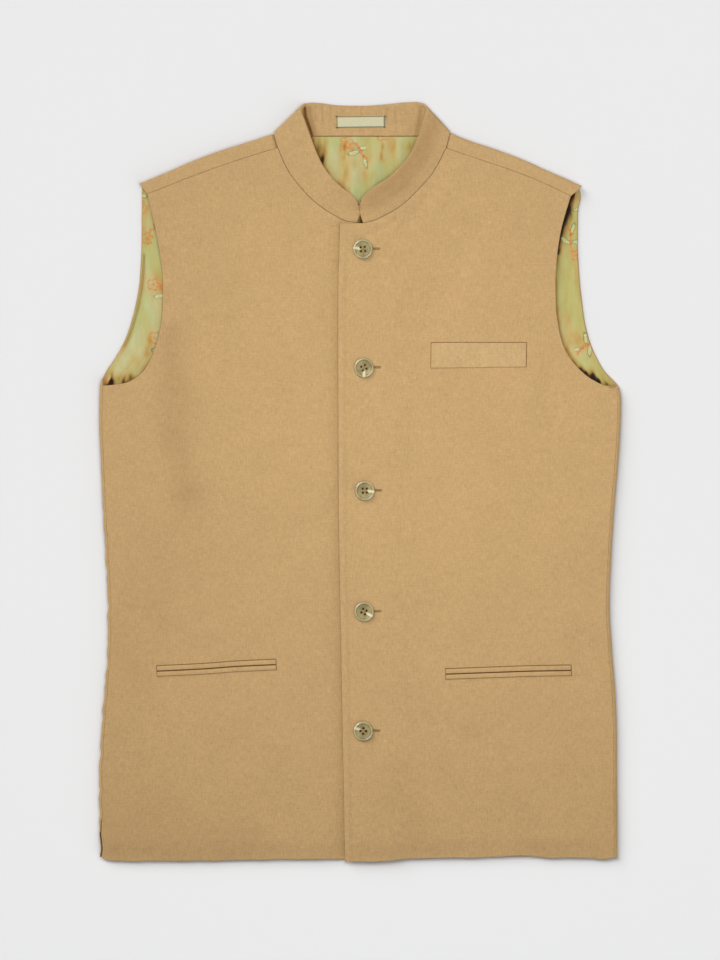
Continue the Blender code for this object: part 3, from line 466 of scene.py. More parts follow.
# Directions, wavelengths (mm), heights (mm) and phases of the cloth's gentle unevenness
Wave = namedtuple("Wave", "angle length height phase")
CLOTH_WAVES = table(Wave, (
    (0.35, 61.0, 0.10, 0.4), (1.25, 47.0, 0.08, 2.1), (2.30, 73.0, 0.10, 4.0),
    (0.85, 34.0, 0.05, 1.2), (1.85, 28.0, 0.045, 5.1), (2.80, 39.0, 0.05, 3.3),
    (0.10, 17.0, 0.018, 0.9), (1.50, 15.0, 0.018, 2.7),
))


# How much each wave snakes, in radians, and how long its snaking is beside its own length
WAVE_BEND = 0.9
WAVE_BEND_LENGTH = 1.7


def unevenness(waves, x, y):
    """Sum of gentle waves, the same in every run."""
    total = np.zeros(np.shape(x))
    for wave in waves:
        along = x * math.cos(wave.angle) + y * math.sin(wave.angle)
        across = y * math.cos(wave.angle) - x * math.sin(wave.angle)
        bend = WAVE_BEND * np.sin(across / (WAVE_BEND_LENGTH * wave.length) + 2.0 * wave.phase)
        total += wave.height * np.sin(2.0 * math.pi * along / wave.length + wave.phase + bend)
    return total


def front_relief(x, y):
    """Folds of the fronts, calmed at the seams and where the fronts overlap."""
    left_margin = ease(*FOLD_SIDE_MARGIN, x - SIDE_X["left"](y))
    right_margin = ease(*FOLD_SIDE_MARGIN, SIDE_X["right"](y) - x)
    calm = ease(CALM_INNER, CALM_OUTER, np.abs(x - CALM_CENTRE_X))
    seam = np.where(x < 0, SEAM_LEVELS["left"](x), SEAM_LEVELS["right"](x))
    ends = np.where(x < 0, NECK_ENDS["left"], NECK_ENDS["right"])
    shoulder = np.where(np.abs(x) > ends, ease(*FOLD_SHOULDER_MARGIN, seam - y), 1.0)
    margins = left_margin * right_margin * shoulder
    coarse = fold_height(FRONT_FOLDS, x, y) * calm
    fine = fold_height(FINE_FOLDS, x, y) + unevenness(CLOTH_WAVES, x, y)
    return (coarse + fine) * margins


def button_press(x, y):
    """Shallow dish that each fastened button pulls in the cloth."""
    total = np.zeros(np.shape(x))
    for button in BUTTONS:
        total -= PRESS_DEPTH * bell(np.hypot(x - button.x, y - button.y), PRESS_WIDTH)
    return total


def hem_droop(side, x, y):
    """How far a front sinks towards its pressed hem."""
    return HEM_DROOP * ease(HEM_DROOP_REACH, 0.0, y - HEM_CURVES[side](x))


def under_top(x, y):
    """Outer face of the under front, pressed down where the over one lies on it."""
    past = x - FRONT_EDGE_X(y)
    dip = OVERLAP_DIP * ease(-DIP_REACH, -1.0, past)
    crease = EDGE_CREASE * bell(past - EDGE_CREASE_PLACE, EDGE_CREASE_WIDTH)
    crease = crease * ease(*EDGE_CREASE_FADE, y)
    rolled = np.clip(1.0 - (x - SIDE_X["left"](y)) / ROLL, 0.0, 1.0)
    sink = ROLL * (1.0 - np.sqrt(1.0 - rolled ** 2)) + hem_droop("left", x, y)
    return FLAT_TOP + front_relief(x, y) + button_press(x, y) - dip - crease - sink


def over_top(x, y):
    """Outer face of the over front, lifted where it lies on the under one."""
    lift = OVERLAP_LIFT * (1.0 - ease(LIFT_START, LIFT_END, x))
    past = x - FRONT_EDGE_X(y)
    pressed = EDGE_RIDGE * bell(past - EDGE_RIDGE_PLACE, EDGE_RIDGE_WIDTH)
    pressed = pressed - EDGE_GROOVE * bell(past - EDGE_GROOVE_PLACE, EDGE_GROOVE_WIDTH)
    relief = front_relief(x, y) + button_press(x, y) + pressed
    return FLAT_TOP + relief + lift - hem_droop("right", x, y)


def vent_share(y):
    """How far the side slits stand open at a height, from 0 above them to 1."""
    return ease(VENT_Y + VENT_BLEND, VENT_Y - VENT_BLEND, y)


# Small waves in the left edge and in the hem, where their seams draw the cloth in: length
# and reach in mm, and phase
EDGE_WAVES = ((19.0, 0.30, 0.3), (31.0, 0.34, 1.9), (12.5, 0.16, 4.2))
HEM_WAVES = ((43.0, 0.22, 0.8), (27.0, 0.14, 2.6))
# Where the left edge's waves are: in from the edge, below the armhole, from chest to hip
EDGE_WAVE_REACH = (6.0, 26.0)
EDGE_WAVE_TOP = (112.0, 92.0)
EDGE_WAVE_GROWTH = (70.0, -120.0)
HEM_WAVE_REACH = (-372.0, -386.0)
# Fuller tip of the right shoulder: its place and its reach across and up
TIP_PLACE = (227.0, 295.0)
TIP_REACH = (6.0, 10.0)


def sway(waves, along):
    """Sum of a few small waves at places along an edge."""
    return sum(
        reach * np.sin(2 * math.pi * along / length + phase) for length, reach, phase in waves)


def settled(points):
    """Move points a little, as the drawn-in seams do: the same for every piece."""
    moved = np.array(points, float)
    x, y = points[..., 0], points[..., 1]
    near_left = 1.0 - ease(*EDGE_WAVE_REACH, x - SIDE_X["left"](y))
    body = ease(*EDGE_WAVE_TOP, y)
    moved[..., 0] += sway(EDGE_WAVES, y) * near_left * body * ease(*EDGE_WAVE_GROWTH, y)
    moved[..., 1] += sway(HEM_WAVES, x) * ease(*HEM_WAVE_REACH, y)
    across, up = (x - TIP_PLACE[0]) / TIP_REACH[0], (y - TIP_PLACE[1]) / TIP_REACH[1]
    moved[..., 0] += TIP_BULGE * np.exp(-across ** 2 - up ** 2)
    return moved


# First step past a rounded edge, as a share of its radius, and how the steps grow from there
FIRST_STEP = 0.8
STEP_GROWTH = 1.35


def edge_steps(radius, spread, step):
    """Distances from a rounded edge: close over its round, then wider up to the spread."""
    near = [radius * (1.0 - math.cos(turn * HALF_TURN / 4)) for turn in range(5)]
    found = list(near)
    gap = radius * FIRST_STEP
    while found[-1] + gap < spread:
        found.append(found[-1] + gap)
        gap = min(gap * STEP_GROWTH, step)
    return np.array(found)


def spaced(length, edges, step):
    """Shares along a length, with the same steps from both of its edges."""
    middle = length - 2.0 * edges[-1]
    count = max(int(round(middle / step)), 1)
    inner = edges[-1] + middle * np.arange(1, count) / count
    return np.concatenate((edges, inner, length - edges[::-1])) / length


def roundness(distance, radius):
    """Share of the full half thickness at a distance in from a rounded edge."""
    inside = np.clip(np.asarray(distance, float) / radius, 0.0, 1.0)
    return np.sqrt(1.0 - (1.0 - inside) ** 2)


def rounded(*edges):
    """Share of the half thickness where several edges meet: distances and radii."""
    share = roundness(*edges[0])
    for distance, radius in edges[1:]:
        share = np.minimum(share, roundness(distance, radius))
    return share


def normals_of(points, outward):
    """Unit normals of a grid of points; outward is the sign of the outer side."""
    down = np.gradient(points, axis=0)
    across = np.gradient(points, axis=1)
    normal = np.cross(across, down)
    size = np.linalg.norm(normal, axis=-1, keepdims=True)
    return outward * normal / np.maximum(size, 1e-9)


Patch = namedtuple("Patch", "outer normal wall share tone inner turned")


def make_patch(points, wall, share, normal=None, tone=None, inner=None, turned=None):
    """Grid of outer points, its wall, the share of it that is there and its inside."""
    if normal is None:
        normal = normals_of(points, 1.0)
    plain = np.zeros(points.shape[:2])
    tone, inner, turned = (plain if item is None else item for item in (tone, inner, turned))
    return Patch(points, normal, wall, share, tone, inner, turned)


def new_object(name, data):
    """Object in the scene with the data given."""
    made = bpy.data.objects.new(name, data)
    bpy.context.scene.collection.objects.link(made)
    return made


def on_surface(plan, base, lift):
    """Points of a plan laid on a surface, lifted a little."""
    height = base(plan[..., 0], plan[..., 1]) + lift
    return np.concatenate((plan, height[..., None]), -1)


def shell_object(name, patches, materials, *nodes, slot="cloth"):
    """Closed thin shell through one or more patches, pinched shut along its edges."""
    verts, faces, slots, tones = [], [], [], []
    for patch in patches:
        rows, columns = patch.share.shape
        half = patch.wall / 2.0 * patch.share[..., None]
        middle = patch.outer - patch.normal * patch.wall / 2.0
        for layer, sign in enumerate((1.0, -1.0)):
            start = sum(len(block) for block in verts)
            place = middle + sign * half * patch.normal
            if layer == 1:
                place = place - (patch.inner * patch.share)[..., None] * patch.normal
            verts.append(settled(place).reshape(-1, 3))
            tones.append(patch.tone.reshape(-1))
            index = start + np.arange(rows * columns).reshape(rows, columns)
            quads = np.stack((index[:-1, :-1], index[:-1, 1:], index[1:, 1:], index[1:, :-1]), -1)
            quads = quads.reshape(-1, 4)
            faces.append(quads[:, ::-1] if layer == 1 else quads)
            lined = layer == 1 and len(materials) > 1
            state = patch.turned[:-1, :-1].reshape(-1)
            slots.append(np.where(state < (0.5 if lined else -0.5), 1, 0))
    mesh = bpy.data.meshes.new(name)
    verts = np.concatenate(verts) * MM
    mesh.from_pydata(verts.tolist(), [], np.concatenate(faces).tolist())
    for material in materials:
        mesh.materials.append(material)
    mesh.polygons.foreach_set("material_index", np.concatenate(slots).astype(np.int32))
    attribute = mesh.attributes.new("tone", "FLOAT", "POINT")
    attribute.data.foreach_set("value", np.concatenate(tones).astype(np.float32))
    shape = bmesh.new()
    shape.from_mesh(mesh)
    bmesh.ops.remove_doubles(shape, verts=shape.verts, dist=WELD)
    bmesh.ops.dissolve_degenerate(shape, edges=shape.edges, dist=WELD)
    shape.to_mesh(mesh)
    shape.free()
    mesh.shade_smooth()
    piece = new_object(name, mesh)
    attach(piece, "root")
    if nodes:
        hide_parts(*nodes)
    return piece


def row_lengths(points, axis):
    """Distance of each grid point from the start of its row or column."""
    steps = np.linalg.norm(np.diff(points, axis=axis), axis=-1)
    total = np.cumsum(steps, axis=axis)
    start = np.zeros_like(np.take(total, [0], axis=axis))
    return np.concatenate((start, total), axis=axis)


def from_ends(points, axis):
    """Distances of each grid point from the start and the end of its row or column."""
    start = row_lengths(points, axis)
    return start, np.take(start, [-1], axis=axis) - start


def outer_edge(side, rows):
    """Outer edge of a front: its side up to the underarm, then its armhole."""
    y = HEM_Y + (UNDERARM_Y - HEM_Y) * np.minimum(rows / LOWER_ROWS, 1.0)
    if side == "left":
        x = SIDE_X["left"](y) + ROLL * (1.0 - math.cos(LEFT_SEAM_ANGLE)) + EDGE_BAND + SEAM
        x = x - VENT_SHIFT * vent_share(y)
    else:
        x = SIDE_X["right"](y) - ROLL
    lower = np.stack((x, y), -1)
    points = [(getattr(row, side + "_x"), getattr(row, side + "_y")) for row in FRONT_ARMHOLES]
    points[0] = tuple(lower[-1])
    share = np.clip((rows - LOWER_ROWS) / (TOTAL_ROWS - LOWER_ROWS), 0.0, 1.0)
    return np.where((rows <= LOWER_ROWS)[:, None], lower, path_curve(points)(share))


def inner_edge(side, rows):
    """Inner edge of a front: its front edge, its top corner, then the neck."""
    if side == "left":
        corner = np.array((UNDER_EDGE_X, UNDER_CORNER_Y))
        hem = float(HEM_CURVES["left"](UNDER_EDGE_X))
    else:
        corner = np.array((FRONT_EDGE[-1].x, FRONT_EDGE[-1].y))
        hem = FRONT_EDGE[0].y
    y = hem + (corner[1] - hem) * np.minimum(rows / CORNER_ROW, 1.0)
    x = np.full(len(rows), UNDER_EDGE_X) if side == "left" else FRONT_EDGE_X(y)
    edge = np.stack((x, y), -1)
    centre_front = NECK_SEAMS[side](0.0)
    share = np.clip(rows - CORNER_ROW, 0.0, 1.0)[:, None]
    top = corner + (centre_front - corner) * share
    neck = NECK_SEAMS[side](np.clip((rows - FIRST_NECK_ROW) / NECK_STEPS, 0.0, 1.0))
    found = np.where((rows <= CORNER_ROW)[:, None], edge, top)
    return np.where((rows > FIRST_NECK_ROW)[:, None], neck, found)


# Steps between the rows of a front below the underarm, beside the armhole, at the corner and
# beside the neck, in row numbers, and how many mm one row number is at the neck
LOWER_STEP = 0.1
ARMHOLE_STEP = 0.125
CORNER_STEP = 0.1
NECK_STEP = 0.14
NECK_ROW_LENGTH = 17.0
SAME_ROW = 0.0005


def front_rows():
    """Row numbers of a front, close together at its hem and shoulder seam."""
    lower = (UNDERARM_Y - HEM_Y) / LOWER_ROWS
    hem = edge_steps(FREE_ROUND, 14.0, 3.5) / lower
    top = TOTAL_ROWS - edge_steps(SEAM_ROUND, 9.0, 2.5)[::-1] / NECK_ROW_LENGTH
    rows = np.concatenate((
        hem, np.arange(hem[-1] + LOWER_STEP, LOWER_ROWS, LOWER_STEP),
        np.arange(LOWER_ROWS, CORNER_ROW, ARMHOLE_STEP),
        np.arange(CORNER_ROW, FIRST_NECK_ROW, CORNER_STEP),
        np.arange(FIRST_NECK_ROW, top[0], NECK_STEP), top))
    kept = [rows[0]]
    for row in rows[1:]:
        if row - kept[-1] > SAME_ROW:
            kept.append(row)
    return np.array(kept)


def front_plan(side, rows, shares):
    """Plan of a front, filled in between its four edges. Shares is a grid."""
    outer = outer_edge(side, rows)[:, None]
    inner = inner_edge(side, rows)[:, None]
    up = (rows / TOTAL_ROWS)[:, None]
    place = outer + shares[..., None] * (inner - outer)
    low, high = outer[0, 0], inner[0, 0]
    straight = low + shares[..., None] * (high - low)
    drop = HEM_CURVES[side](straight[..., 0]) - straight[..., 1]
    place[..., 1] += (1.0 - up) ** HEM_PULL_POWER * drop
    seam_curve = SHOULDER_CURVES[side][1]
    low, high = seam_curve(0.0), seam_curve(1.0)
    curved = seam_curve(shares)
    pull = (up ** SEAM_PULL_POWER)[..., None]
    return place + pull * (curved - low - shares[..., None] * (high - low))


# Columns of a front: their step in mm, how many more there are for the close ones, how much
# closer those are, over what share of the row, and where they are on each front
COLUMN_STEP = 3.0
COLUMNS_MORE = 1.15
CLOSER = 1.3
CLOSE_REACH = 0.07
CLOSE_PLACE = {"left": 0.82, "right": 1.0}


def column_shares(length, fine):
    """Shares along the middle of a front's rows, closer together round one of them."""
    fixed = np.linspace(0.0, 1.0, 400)
    total = np.cumsum(1.0 + CLOSER * bell(fixed - fine, CLOSE_REACH))
    total = (total - total[0]) / (total[-1] - total[0])
    count = int(length / COLUMN_STEP * COLUMNS_MORE)
    return np.interp(np.arange(1, count + 1) / (count + 1), total, fixed)


def front_patches(side):
    """One front as a grid, and for the over one the turn round its side."""
    under = side == "left"
    rows = front_rows()
    widths = np.linalg.norm(inner_edge(side, rows) - outer_edge(side, rows), axis=1)
    edges = edge_steps(SEAM_ROUND, 12.0, 1.8)
    inside = column_shares(float(widths.max()) - 2.0 * edges[-1], CLOSE_PLACE[side])
    shares = []
    for width in widths:
        middle = edges[-1] + (width - 2.0 * edges[-1]) * inside
        shares.append(np.concatenate((edges, middle, width - edges[::-1])) / width)
    plan = front_plan(side, rows, np.array(shares))
    points = on_surface(plan, under_top if under else over_top, 0.0)
    from_outer, from_inner = from_ends(points, 1)
    from_hem, from_top = from_ends(points, 0)
    lower = (rows <= LOWER_ROWS)[:, None]
    if not under:
        underarm = int(np.searchsorted(rows, LOWER_ROWS))
        below = np.maximum(from_hem[underarm][None, :] - from_hem, 0.0)
        from_outer = np.where(lower, np.hypot(from_outer, below), from_outer)
    at_neck = (rows >= FIRST_NECK_ROW)[:, None]
    share = rounded(
        (from_outer, np.where(lower & under, SEAM_ROUND, FREE_ROUND)),
        (from_inner, np.where(at_neck, SEAM_ROUND, FREE_ROUND)),
        (from_hem, FREE_ROUND), (from_top, SEAM_ROUND))
    nearest = np.minimum(np.minimum(from_outer, from_inner), np.minimum(from_hem, from_top))
    turned = nearest < TURNED_EDGE
    normal = normals_of(points, 1.0 if under else -1.0)
    if not under:
        normal[:, 0] = np.where(lower, (0.0, 0.0, 1.0), normal[:, 0])
    # Painted shade of the fronts, which the tone carries into their colour
    nap = fold_height(FRONT_PAINTED_SHADES, points[..., 0], points[..., 1])
    main = make_patch(points, FRONT_WALL, share, normal=normal, turned=turned, tone=nap)
    return [main] if under else [main, side_turn(rows[:underarm + 1], points, share)]


def side_turn(rows, points, share):
    """Over front where it turns down round its side to the hidden seam."""
    x, y, level = np.moveaxis(points[:len(rows), 0], -1, 0)
    end = RIGHT_SEAM_ANGLE + RIGHT_SEAM_HALF_GAP + RIGHT_VENT_HALF_GAP * vent_share(y)
    arc = float((HALF_TURN - RIGHT_SEAM_ANGLE - RIGHT_SEAM_HALF_GAP) * ROLL)
    steps = edge_steps(FRONT_WALL / 2, 3.0, 0.7)
    shares = np.concatenate((np.arange(0.0, arc - steps[-1], 0.55), arc - steps[::-1])) / arc
    angle = HALF_TURN + (end[:, None] - HALF_TURN) * shares[None, :]
    cos, sin = np.cos(angle), np.sin(angle)
    drop = (level - FLAT_TOP)[:, None] * np.maximum(sin, 0.0)
    turn = np.stack((
        x[:, None] + ROLL * cos,
        np.broadcast_to(y[:, None], angle.shape),
        ROLL + ROLL * sin + drop,
    ), -1)
    normal = np.stack((cos, np.zeros_like(cos), sin), -1)
    from_seam = (1.0 - shares)[None, :] * arc
    kept = share[:len(rows), :1] * roundness(from_seam, FRONT_WALL / 2)
    return make_patch(turn, FRONT_WALL, kept, normal=normal, turned=np.ones(kept.shape))


def side_edge(side, y):
    """Outermost place of the back and the angle up to which its edge is rolled."""
    if side == "left":
        full = LEFT_SEAM_ANGLE - LEFT_VENT_DROP * vent_share(y)
    else:
        full = RIGHT_SEAM_ANGLE - RIGHT_SEAM_HALF_GAP - RIGHT_VENT_HALF_GAP * vent_share(y)
    low = y <= UNDERARM_Y
    edge = np.where(low, SIDE_X[side](y), BACK_EDGE_X[side](y))
    share = np.where(low, 0.0, ease(UNDERARM_Y, UNDERARM_Y + CURL_LENGTH, y))
    return edge, full + share * (-HALF_TURN - full)


def strip_points(side, y, distance, depth):
    """Points of the back at distances along the cloth from its side or armhole edge."""
    sign = -1.0 if side == "left" else 1.0
    edge, end = side_edge(side, y)
    turned = ROLL * np.cos(end) - EDGE_BAND * np.sin(end)
    centre = edge - sign * np.where(end >= 0, ROLL, turned)
    arc = (end + HALF_TURN) * ROLL
    reach = ROLL - depth
    past = distance - EDGE_BAND
    cos, sin = np.cos(end), np.sin(end)
    band = (reach * cos + past * sin, ROLL + reach * sin - past * cos)
    angle = end - past / ROLL
    rolled = (reach * np.cos(angle), ROLL + reach * np.sin(angle))
    flat = (arc - past, np.full(np.shape(past), float(depth)))
    across = np.where(past < 0, band[0], np.where(past < arc, rolled[0], flat[0]))
    height = np.where(past < 0, band[1], np.where(past < arc, rolled[1], flat[1]))
    return np.stack((centre + sign * across, np.broadcast_to(y, across.shape), height), -1)


def top_edge(kind, share, inset):
    """Top edge of the back on the floor: the shoulders' folds and the neck."""
    if kind == "neck":
        left, _ = roll_frame("left", 1.0)
        right, _ = roll_frame("right", 1.0)
        x = left[0] + share * (right[0] - left[0])
        from_left = left[1] + NECK_CORNER_SLOPE * (x - left[0])
        from_right = right[1] + NECK_CORNER_SLOPE * (right[0] - x)
        y = np.minimum(np.minimum(BACK_NECK_Y, from_left), from_right)
        return np.stack((x, y - inset), -1)
    centre, outward = roll_frame(kind, share)
    return centre - inset * outward


def back_columns(strip_steps, shoulder_count, neck_count):
    """Columns across the back: kind, distance or none, and the top edge that each meets."""
    found = []
    for side in ("left", "right"):
        length = SHOULDER_LENGTHS[side]
        start = SIDE_STRIP / length
        group = [(side, float(d), side, float(d) / length) for d in strip_steps]
        for step in range(shoulder_count):
            group.append(("floor", 0.0, side, start + (1.0 - start) * step / shoulder_count))
        if side == "left":
            found += group
            for step in range(neck_count + 1):
                found.append(("floor", 0.0, "neck", step / neck_count))
        else:
            found += group[::-1]
    return found


def back_surface(y_rows, columns, depth, insets, strip, top_inset, top_rows):
    """Grid of points that follows the back at a depth, from the hem to its top edge."""
    tops = np.array([top_edge(kind, share, top_inset) for _, _, kind, share in columns])
    first = next(i for i, item in enumerate(columns) if item[0] == "floor")
    last = len(columns) - 1 - next(i for i, item in enumerate(columns[::-1]) if item[0] == "floor")
    grid = np.zeros((len(y_rows), len(columns), 3))
    ends = {}
    for side in ("left", "right"):
        ends[side] = strip_points(side, y_rows, np.full(len(y_rows), strip), 0.0)[:, 0]
    for index, (kind, distance, _, _) in enumerate(columns):
        if kind == "floor":
            share = (tops[index, 0] - tops[first, 0]) / (tops[last, 0] - tops[first, 0])
            grid[:, index, 0] = ends["left"] + share * (ends["right"] - ends["left"])
            grid[:, index, 1] = y_rows
            grid[:, index, 2] = depth
        else:
            inset = insets(kind, y_rows)
            kept = inset + distance * (strip - inset) / SIDE_STRIP
            grid[:, index] = strip_points(kind, y_rows, kept, depth)
    top = np.concatenate((tops, np.full((len(columns), 1), float(depth))), -1)
    shares = np.asarray(top_rows)[:, None, None]
    upper = grid[-1][None] + shares * (top - grid[-1])[None]
    return np.concatenate((grid, upper), 0)


# Counts of a grid over the back: columns at a shoulder and at the neck, rows where the sides
# curl, rows from there to the top row, and rows above it
Grid = namedtuple("Grid", "shoulder neck curl upper top")
BACK_GRID = Grid(34, 44, 14, 34, 26)
LINING_GRID = Grid(36, 108, 18, 58, 56)
BACK_STEP = 3.4
# About how far the top row is from the top edge, in mm
TOP_RUN = 110.0


def upper_rows(grid):
    """Heights of the rows from the underarm up to the top row."""
    curled = UNDERARM_Y + CURL_LENGTH
    return np.concatenate((
        np.linspace(UNDERARM_Y, curled, grid.curl),
        np.linspace(curled, TOP_ROW_Y, grid.upper)[1:]))


def top_shares(grid, steps):
    """Shares of the way from the top row to the top edge, close together at the edge."""
    near = 1.0 - steps[::-1] / TOP_RUN
    return np.concatenate((np.linspace(0.0, near[0], grid.top)[1:-1], near))


# The cloth inside the open slit, in the darker moleskin as painted shade: left of, below and above
# these places
SLIT_PLACE = (-255.0, VENT_Y - 12.0, 1.0)


def back_patches():
    """Back: one cut of cloth that turns up at its sides and over both shoulders."""
    radius = BACK_WALL / 2
    steps = edge_steps(radius, SIDE_STRIP - 0.4, 0.9)
    columns = back_columns(steps, BACK_GRID.shoulder, BACK_GRID.neck)
    hem = HEM_Y + edge_steps(radius, 10.0, 3.0)
    lower = np.arange(hem[-1] + BACK_STEP, UNDERARM_Y - 1.0, BACK_STEP)
    y_rows = np.concatenate((hem, lower, upper_rows(BACK_GRID)))
    top_rows = top_shares(BACK_GRID, edge_steps(radius, 8.0, 3.0))
    points = back_surface(
        y_rows, columns, 0.0, lambda side, y: np.zeros(len(y)), SIDE_STRIP, 0.0, top_rows)
    from_hem, from_top = from_ends(points, 0)
    distance = np.full(len(columns), 1000.0)
    to_neck = np.zeros(len(columns))
    for index, (kind, gone, meets, share) in enumerate(columns):
        if kind != "floor":
            distance[index] = gone
        if meets != "neck":
            to_neck[index] = (1.0 - share) * SHOULDER_LENGTHS[meets]
    from_neck = np.hypot(np.broadcast_to(to_neck, from_top.shape), from_top)
    share = rounded((distance[None, :], radius), (from_hem, radius), (from_neck, radius))
    normal = normals_of(points, -1.0)
    normal[-1] = (0.0, 0.0, -1.0)
    x, y, level = np.moveaxis(points, -1, 0)
    # Inside the open slit both faces take the darker moleskin, as painted shade
    in_slit = (x < SLIT_PLACE[0]) & (y < SLIT_PLACE[1]) & (level > SLIT_PLACE[2])
    turned = np.where(in_slit, -1.0, 1.0)
    patches = [make_patch(points, BACK_WALL, share, normal=normal, turned=turned)]
    for side in ("left", "right"):
        shares = [part for _, _, meets, part in columns if meets == side]
        shares = shares + [1.0] if side == "left" else [1.0] + shares
        patches.append(shoulder_patch(side, np.array(shares), radius))
    return patches


SHOULDER_TURNS = 18
SHOULDER_NECK_ROUND = 0.25


def shoulder_patch(side, shares, radius):
    """Roll of the back over one shoulder, from the floor to the forward seam."""
    centre, outward = roll_frame(side, shares)
    seam = SHOULDER_CURVES[side][1](shares) + SEAM * outward
    full = np.ones((len(shares), 1))
    rows, normals = [], []
    for step in range(SHOULDER_TURNS + 1):
        angle = -HALF_TURN + math.pi * step / SHOULDER_TURNS
        cos, sin = math.cos(angle), math.sin(angle)
        rows.append(np.concatenate((centre + ROLL * cos * outward, full * (ROLL + ROLL * sin)), -1))
        normals.append(np.concatenate((outward * cos, full * sin), -1))
    run = float(np.mean(np.linalg.norm(seam - centre, axis=1)))
    for share in 1.0 - edge_steps(radius, run - 0.8, 1.2)[::-1] / run:
        rows.append(np.concatenate((centre + (seam - centre) * share, full * FLAT_TOP), -1))
        normals.append(np.broadcast_to((0.0, 0.0, 1.0), rows[-1].shape))
    points = np.array(rows)
    length = SHOULDER_LENGTHS[side]
    share = rounded(
        ((shares * length)[None, :], radius),
        (((1.0 - shares) * length)[None, :], SHOULDER_NECK_ROUND),
        (from_ends(points, 0)[1], radius))
    turned = np.ones(share.shape)
    return make_patch(points, BACK_WALL, share, normal=np.array(normals), turned=turned)


def lining_inset(side, y):
    """How far the lining's edge lies in from the back's own edge, along the cloth."""
    _, end = side_edge(side, y)
    turned_up = EDGE_BAND + (end + HALF_TURN) * ROLL
    below_arm = ease(UNDERARM_Y, UNDERARM_Y - LINING_SIDE_BLEND, y)
    return turned_up + LINING_EDGE_INSET + LINING_SIDE_INSET * below_arm


# Where the lining's fine puckers are: up to the neck, beside the body and over the underarm
SEEN_NECK_Y = (250.0, 285.0)
SEEN_SIDE_X = (150.0, 190.0)
SEEN_ARM_Y = (80.0, 96.0)
LINING_SINK = -0.1


def lining_patches():
    """Back lining, slack and puckered where it shows in the neck and the armholes."""
    radius = LINING_WALL / 2
    steps = edge_steps(radius, SIDE_STRIP - 0.4, 0.8)
    columns = back_columns(steps, LINING_GRID.shoulder, LINING_GRID.neck)
    hem = HEM_Y + LINING_HEM_INSET + edge_steps(radius, 12.0, 6.0)
    hidden = np.arange(hem[-1] + 12.0, UNDERARM_Y - 34.0, 12.0)
    close = np.arange(UNDERARM_Y - 30.0, UNDERARM_Y, 2.0)
    y_rows = np.concatenate((hem, hidden, close, upper_rows(LINING_GRID)))
    top_rows = top_shares(LINING_GRID, edge_steps(radius, 6.0, 1.4))
    depth = BACK_WALL + CLEARANCE
    points = back_surface(
        y_rows, columns, depth, lining_inset, LINING_STRIP, LINING_TOP_INSET, top_rows)
    x, y = points[..., 0], points[..., 1]
    at_arms = ease(*SEEN_SIDE_X, np.abs(x)) * ease(*SEEN_ARM_Y, y)
    seen = np.maximum(ease(*SEEN_NECK_Y, y), at_arms)
    folds = fold_height(LINING_FOLDS, x, y)
    fine = (fold_height(LINING_PUCKERS, x, y) + unevenness(LINING_WAVES, x, y)) * seen
    points[..., 2] += np.maximum(folds + fine, LINING_SINK)
    edges = from_ends(points, 0) + from_ends(points, 1)
    share = rounded(*((distance, radius) for distance in edges))
    outer = points.copy()
    outer[..., 2] += LINING_WALL
    return [make_patch(outer, LINING_WALL, share, tone=lining_tone(points, *edges[2:]))]


LINING_WAVES = table(Wave, (
    (0.05, 21.0, 0.16, 0.7), (0.30, 13.0, 0.10, 2.9), (-0.25, 9.0, 0.06, 1.7),
    (1.20, 26.0, 0.10, 4.4),
))


# Deep shaded places of the lining, which are longer up the garment than across it
HOLLOW_STRETCH = 0.55
Hollow = namedtuple("Hollow", "x y reach depth")
HOLLOWS = table(Hollow, (
    (-258.5, 103.0, 5.0, 1.5), (-249.0, 106.0, 2.4, 0.7), (-243.0, 104.0, 3.0, 0.7),
    (-236.5, 108.5, 2.8, 0.7), (-229.5, 125.0, 4.5, 0.7), (-221.0, 133.0, 4.0, 0.6),
    (-216.0, 146.0, 4.0, 0.45), (-209.5, 214.0, 5.0, 0.5), (-206.0, 200.0, 5.0, 0.45),
    (-222.0, 278.0, 4.0, 0.4), (-220.0, 250.0, 4.0, 0.4), (225.0, 301.0, 5.0, 1.4),
    (211.0, 281.0, 7.0, 0.9), (206.5, 262.0, 6.5, 0.7), (203.5, 243.0, 5.0, 0.45),
    (202.5, 205.0, 4.0, 0.3), (240.0, 106.0, 3.2, 0.9), (228.0, 113.5, 3.0, 0.7),
    (233.0, 112.0, 2.0, 0.6), (247.0, 103.5, 2.2, 0.7), (1.0, 269.0, 5.5, 1.2),
    (-53.0, 353.0, 5.0, 0.8), (-47.5, 341.0, 4.0, 0.45), (-41.0, 329.0, 4.0, 0.6),
    (-33.0, 317.0, 3.5, 0.5), (-22.0, 305.0, 3.5, 0.45), (-40.0, 344.0, 3.4, 0.5),
    (-38.5, 334.0, 2.6, 0.5), (-7.0, 342.0, 3.0, 0.6), (-6.0, 328.0, 3.0, 0.5),
    (-16.0, 346.0, 2.4, 0.45), (24.0, 346.0, 2.4, 0.5), (22.0, 334.0, 3.0, 0.5),
    (14.0, 316.0, 3.5, 0.35), (44.0, 346.0, 2.4, 0.4), (54.0, 345.0, 3.5, 0.45),
))

# Shade on the lining along the edges that stand over it
LINING_SHADES = table(Fold, (
    (0.15, 5.0, ((-52, 361), (-45.5, 343), (-38, 326.5), (-27, 311), (-15, 300))),
    (0.14, 3.5, ((52, 350), (44, 332), (30, 316), (14, 303))),
    (0.62, 5.0, ((222, 302), (214, 290), (207, 262), (203.5, 238))),
    (0.38, 3.6, ((203.5, 238), (202.5, 203), (203, 181), (206, 157), (213, 136))),
    (0.34, 3.6, ((213, 136), (226, 118), (240, 107), (256, 100))),
    (0.35, 2.6, ((-203, 240), (-202, 204), (-202.5, 178))),
    (0.40, 3.2, ((-210, 139), (-218, 121), (-227, 109), (-242, 101))),
))


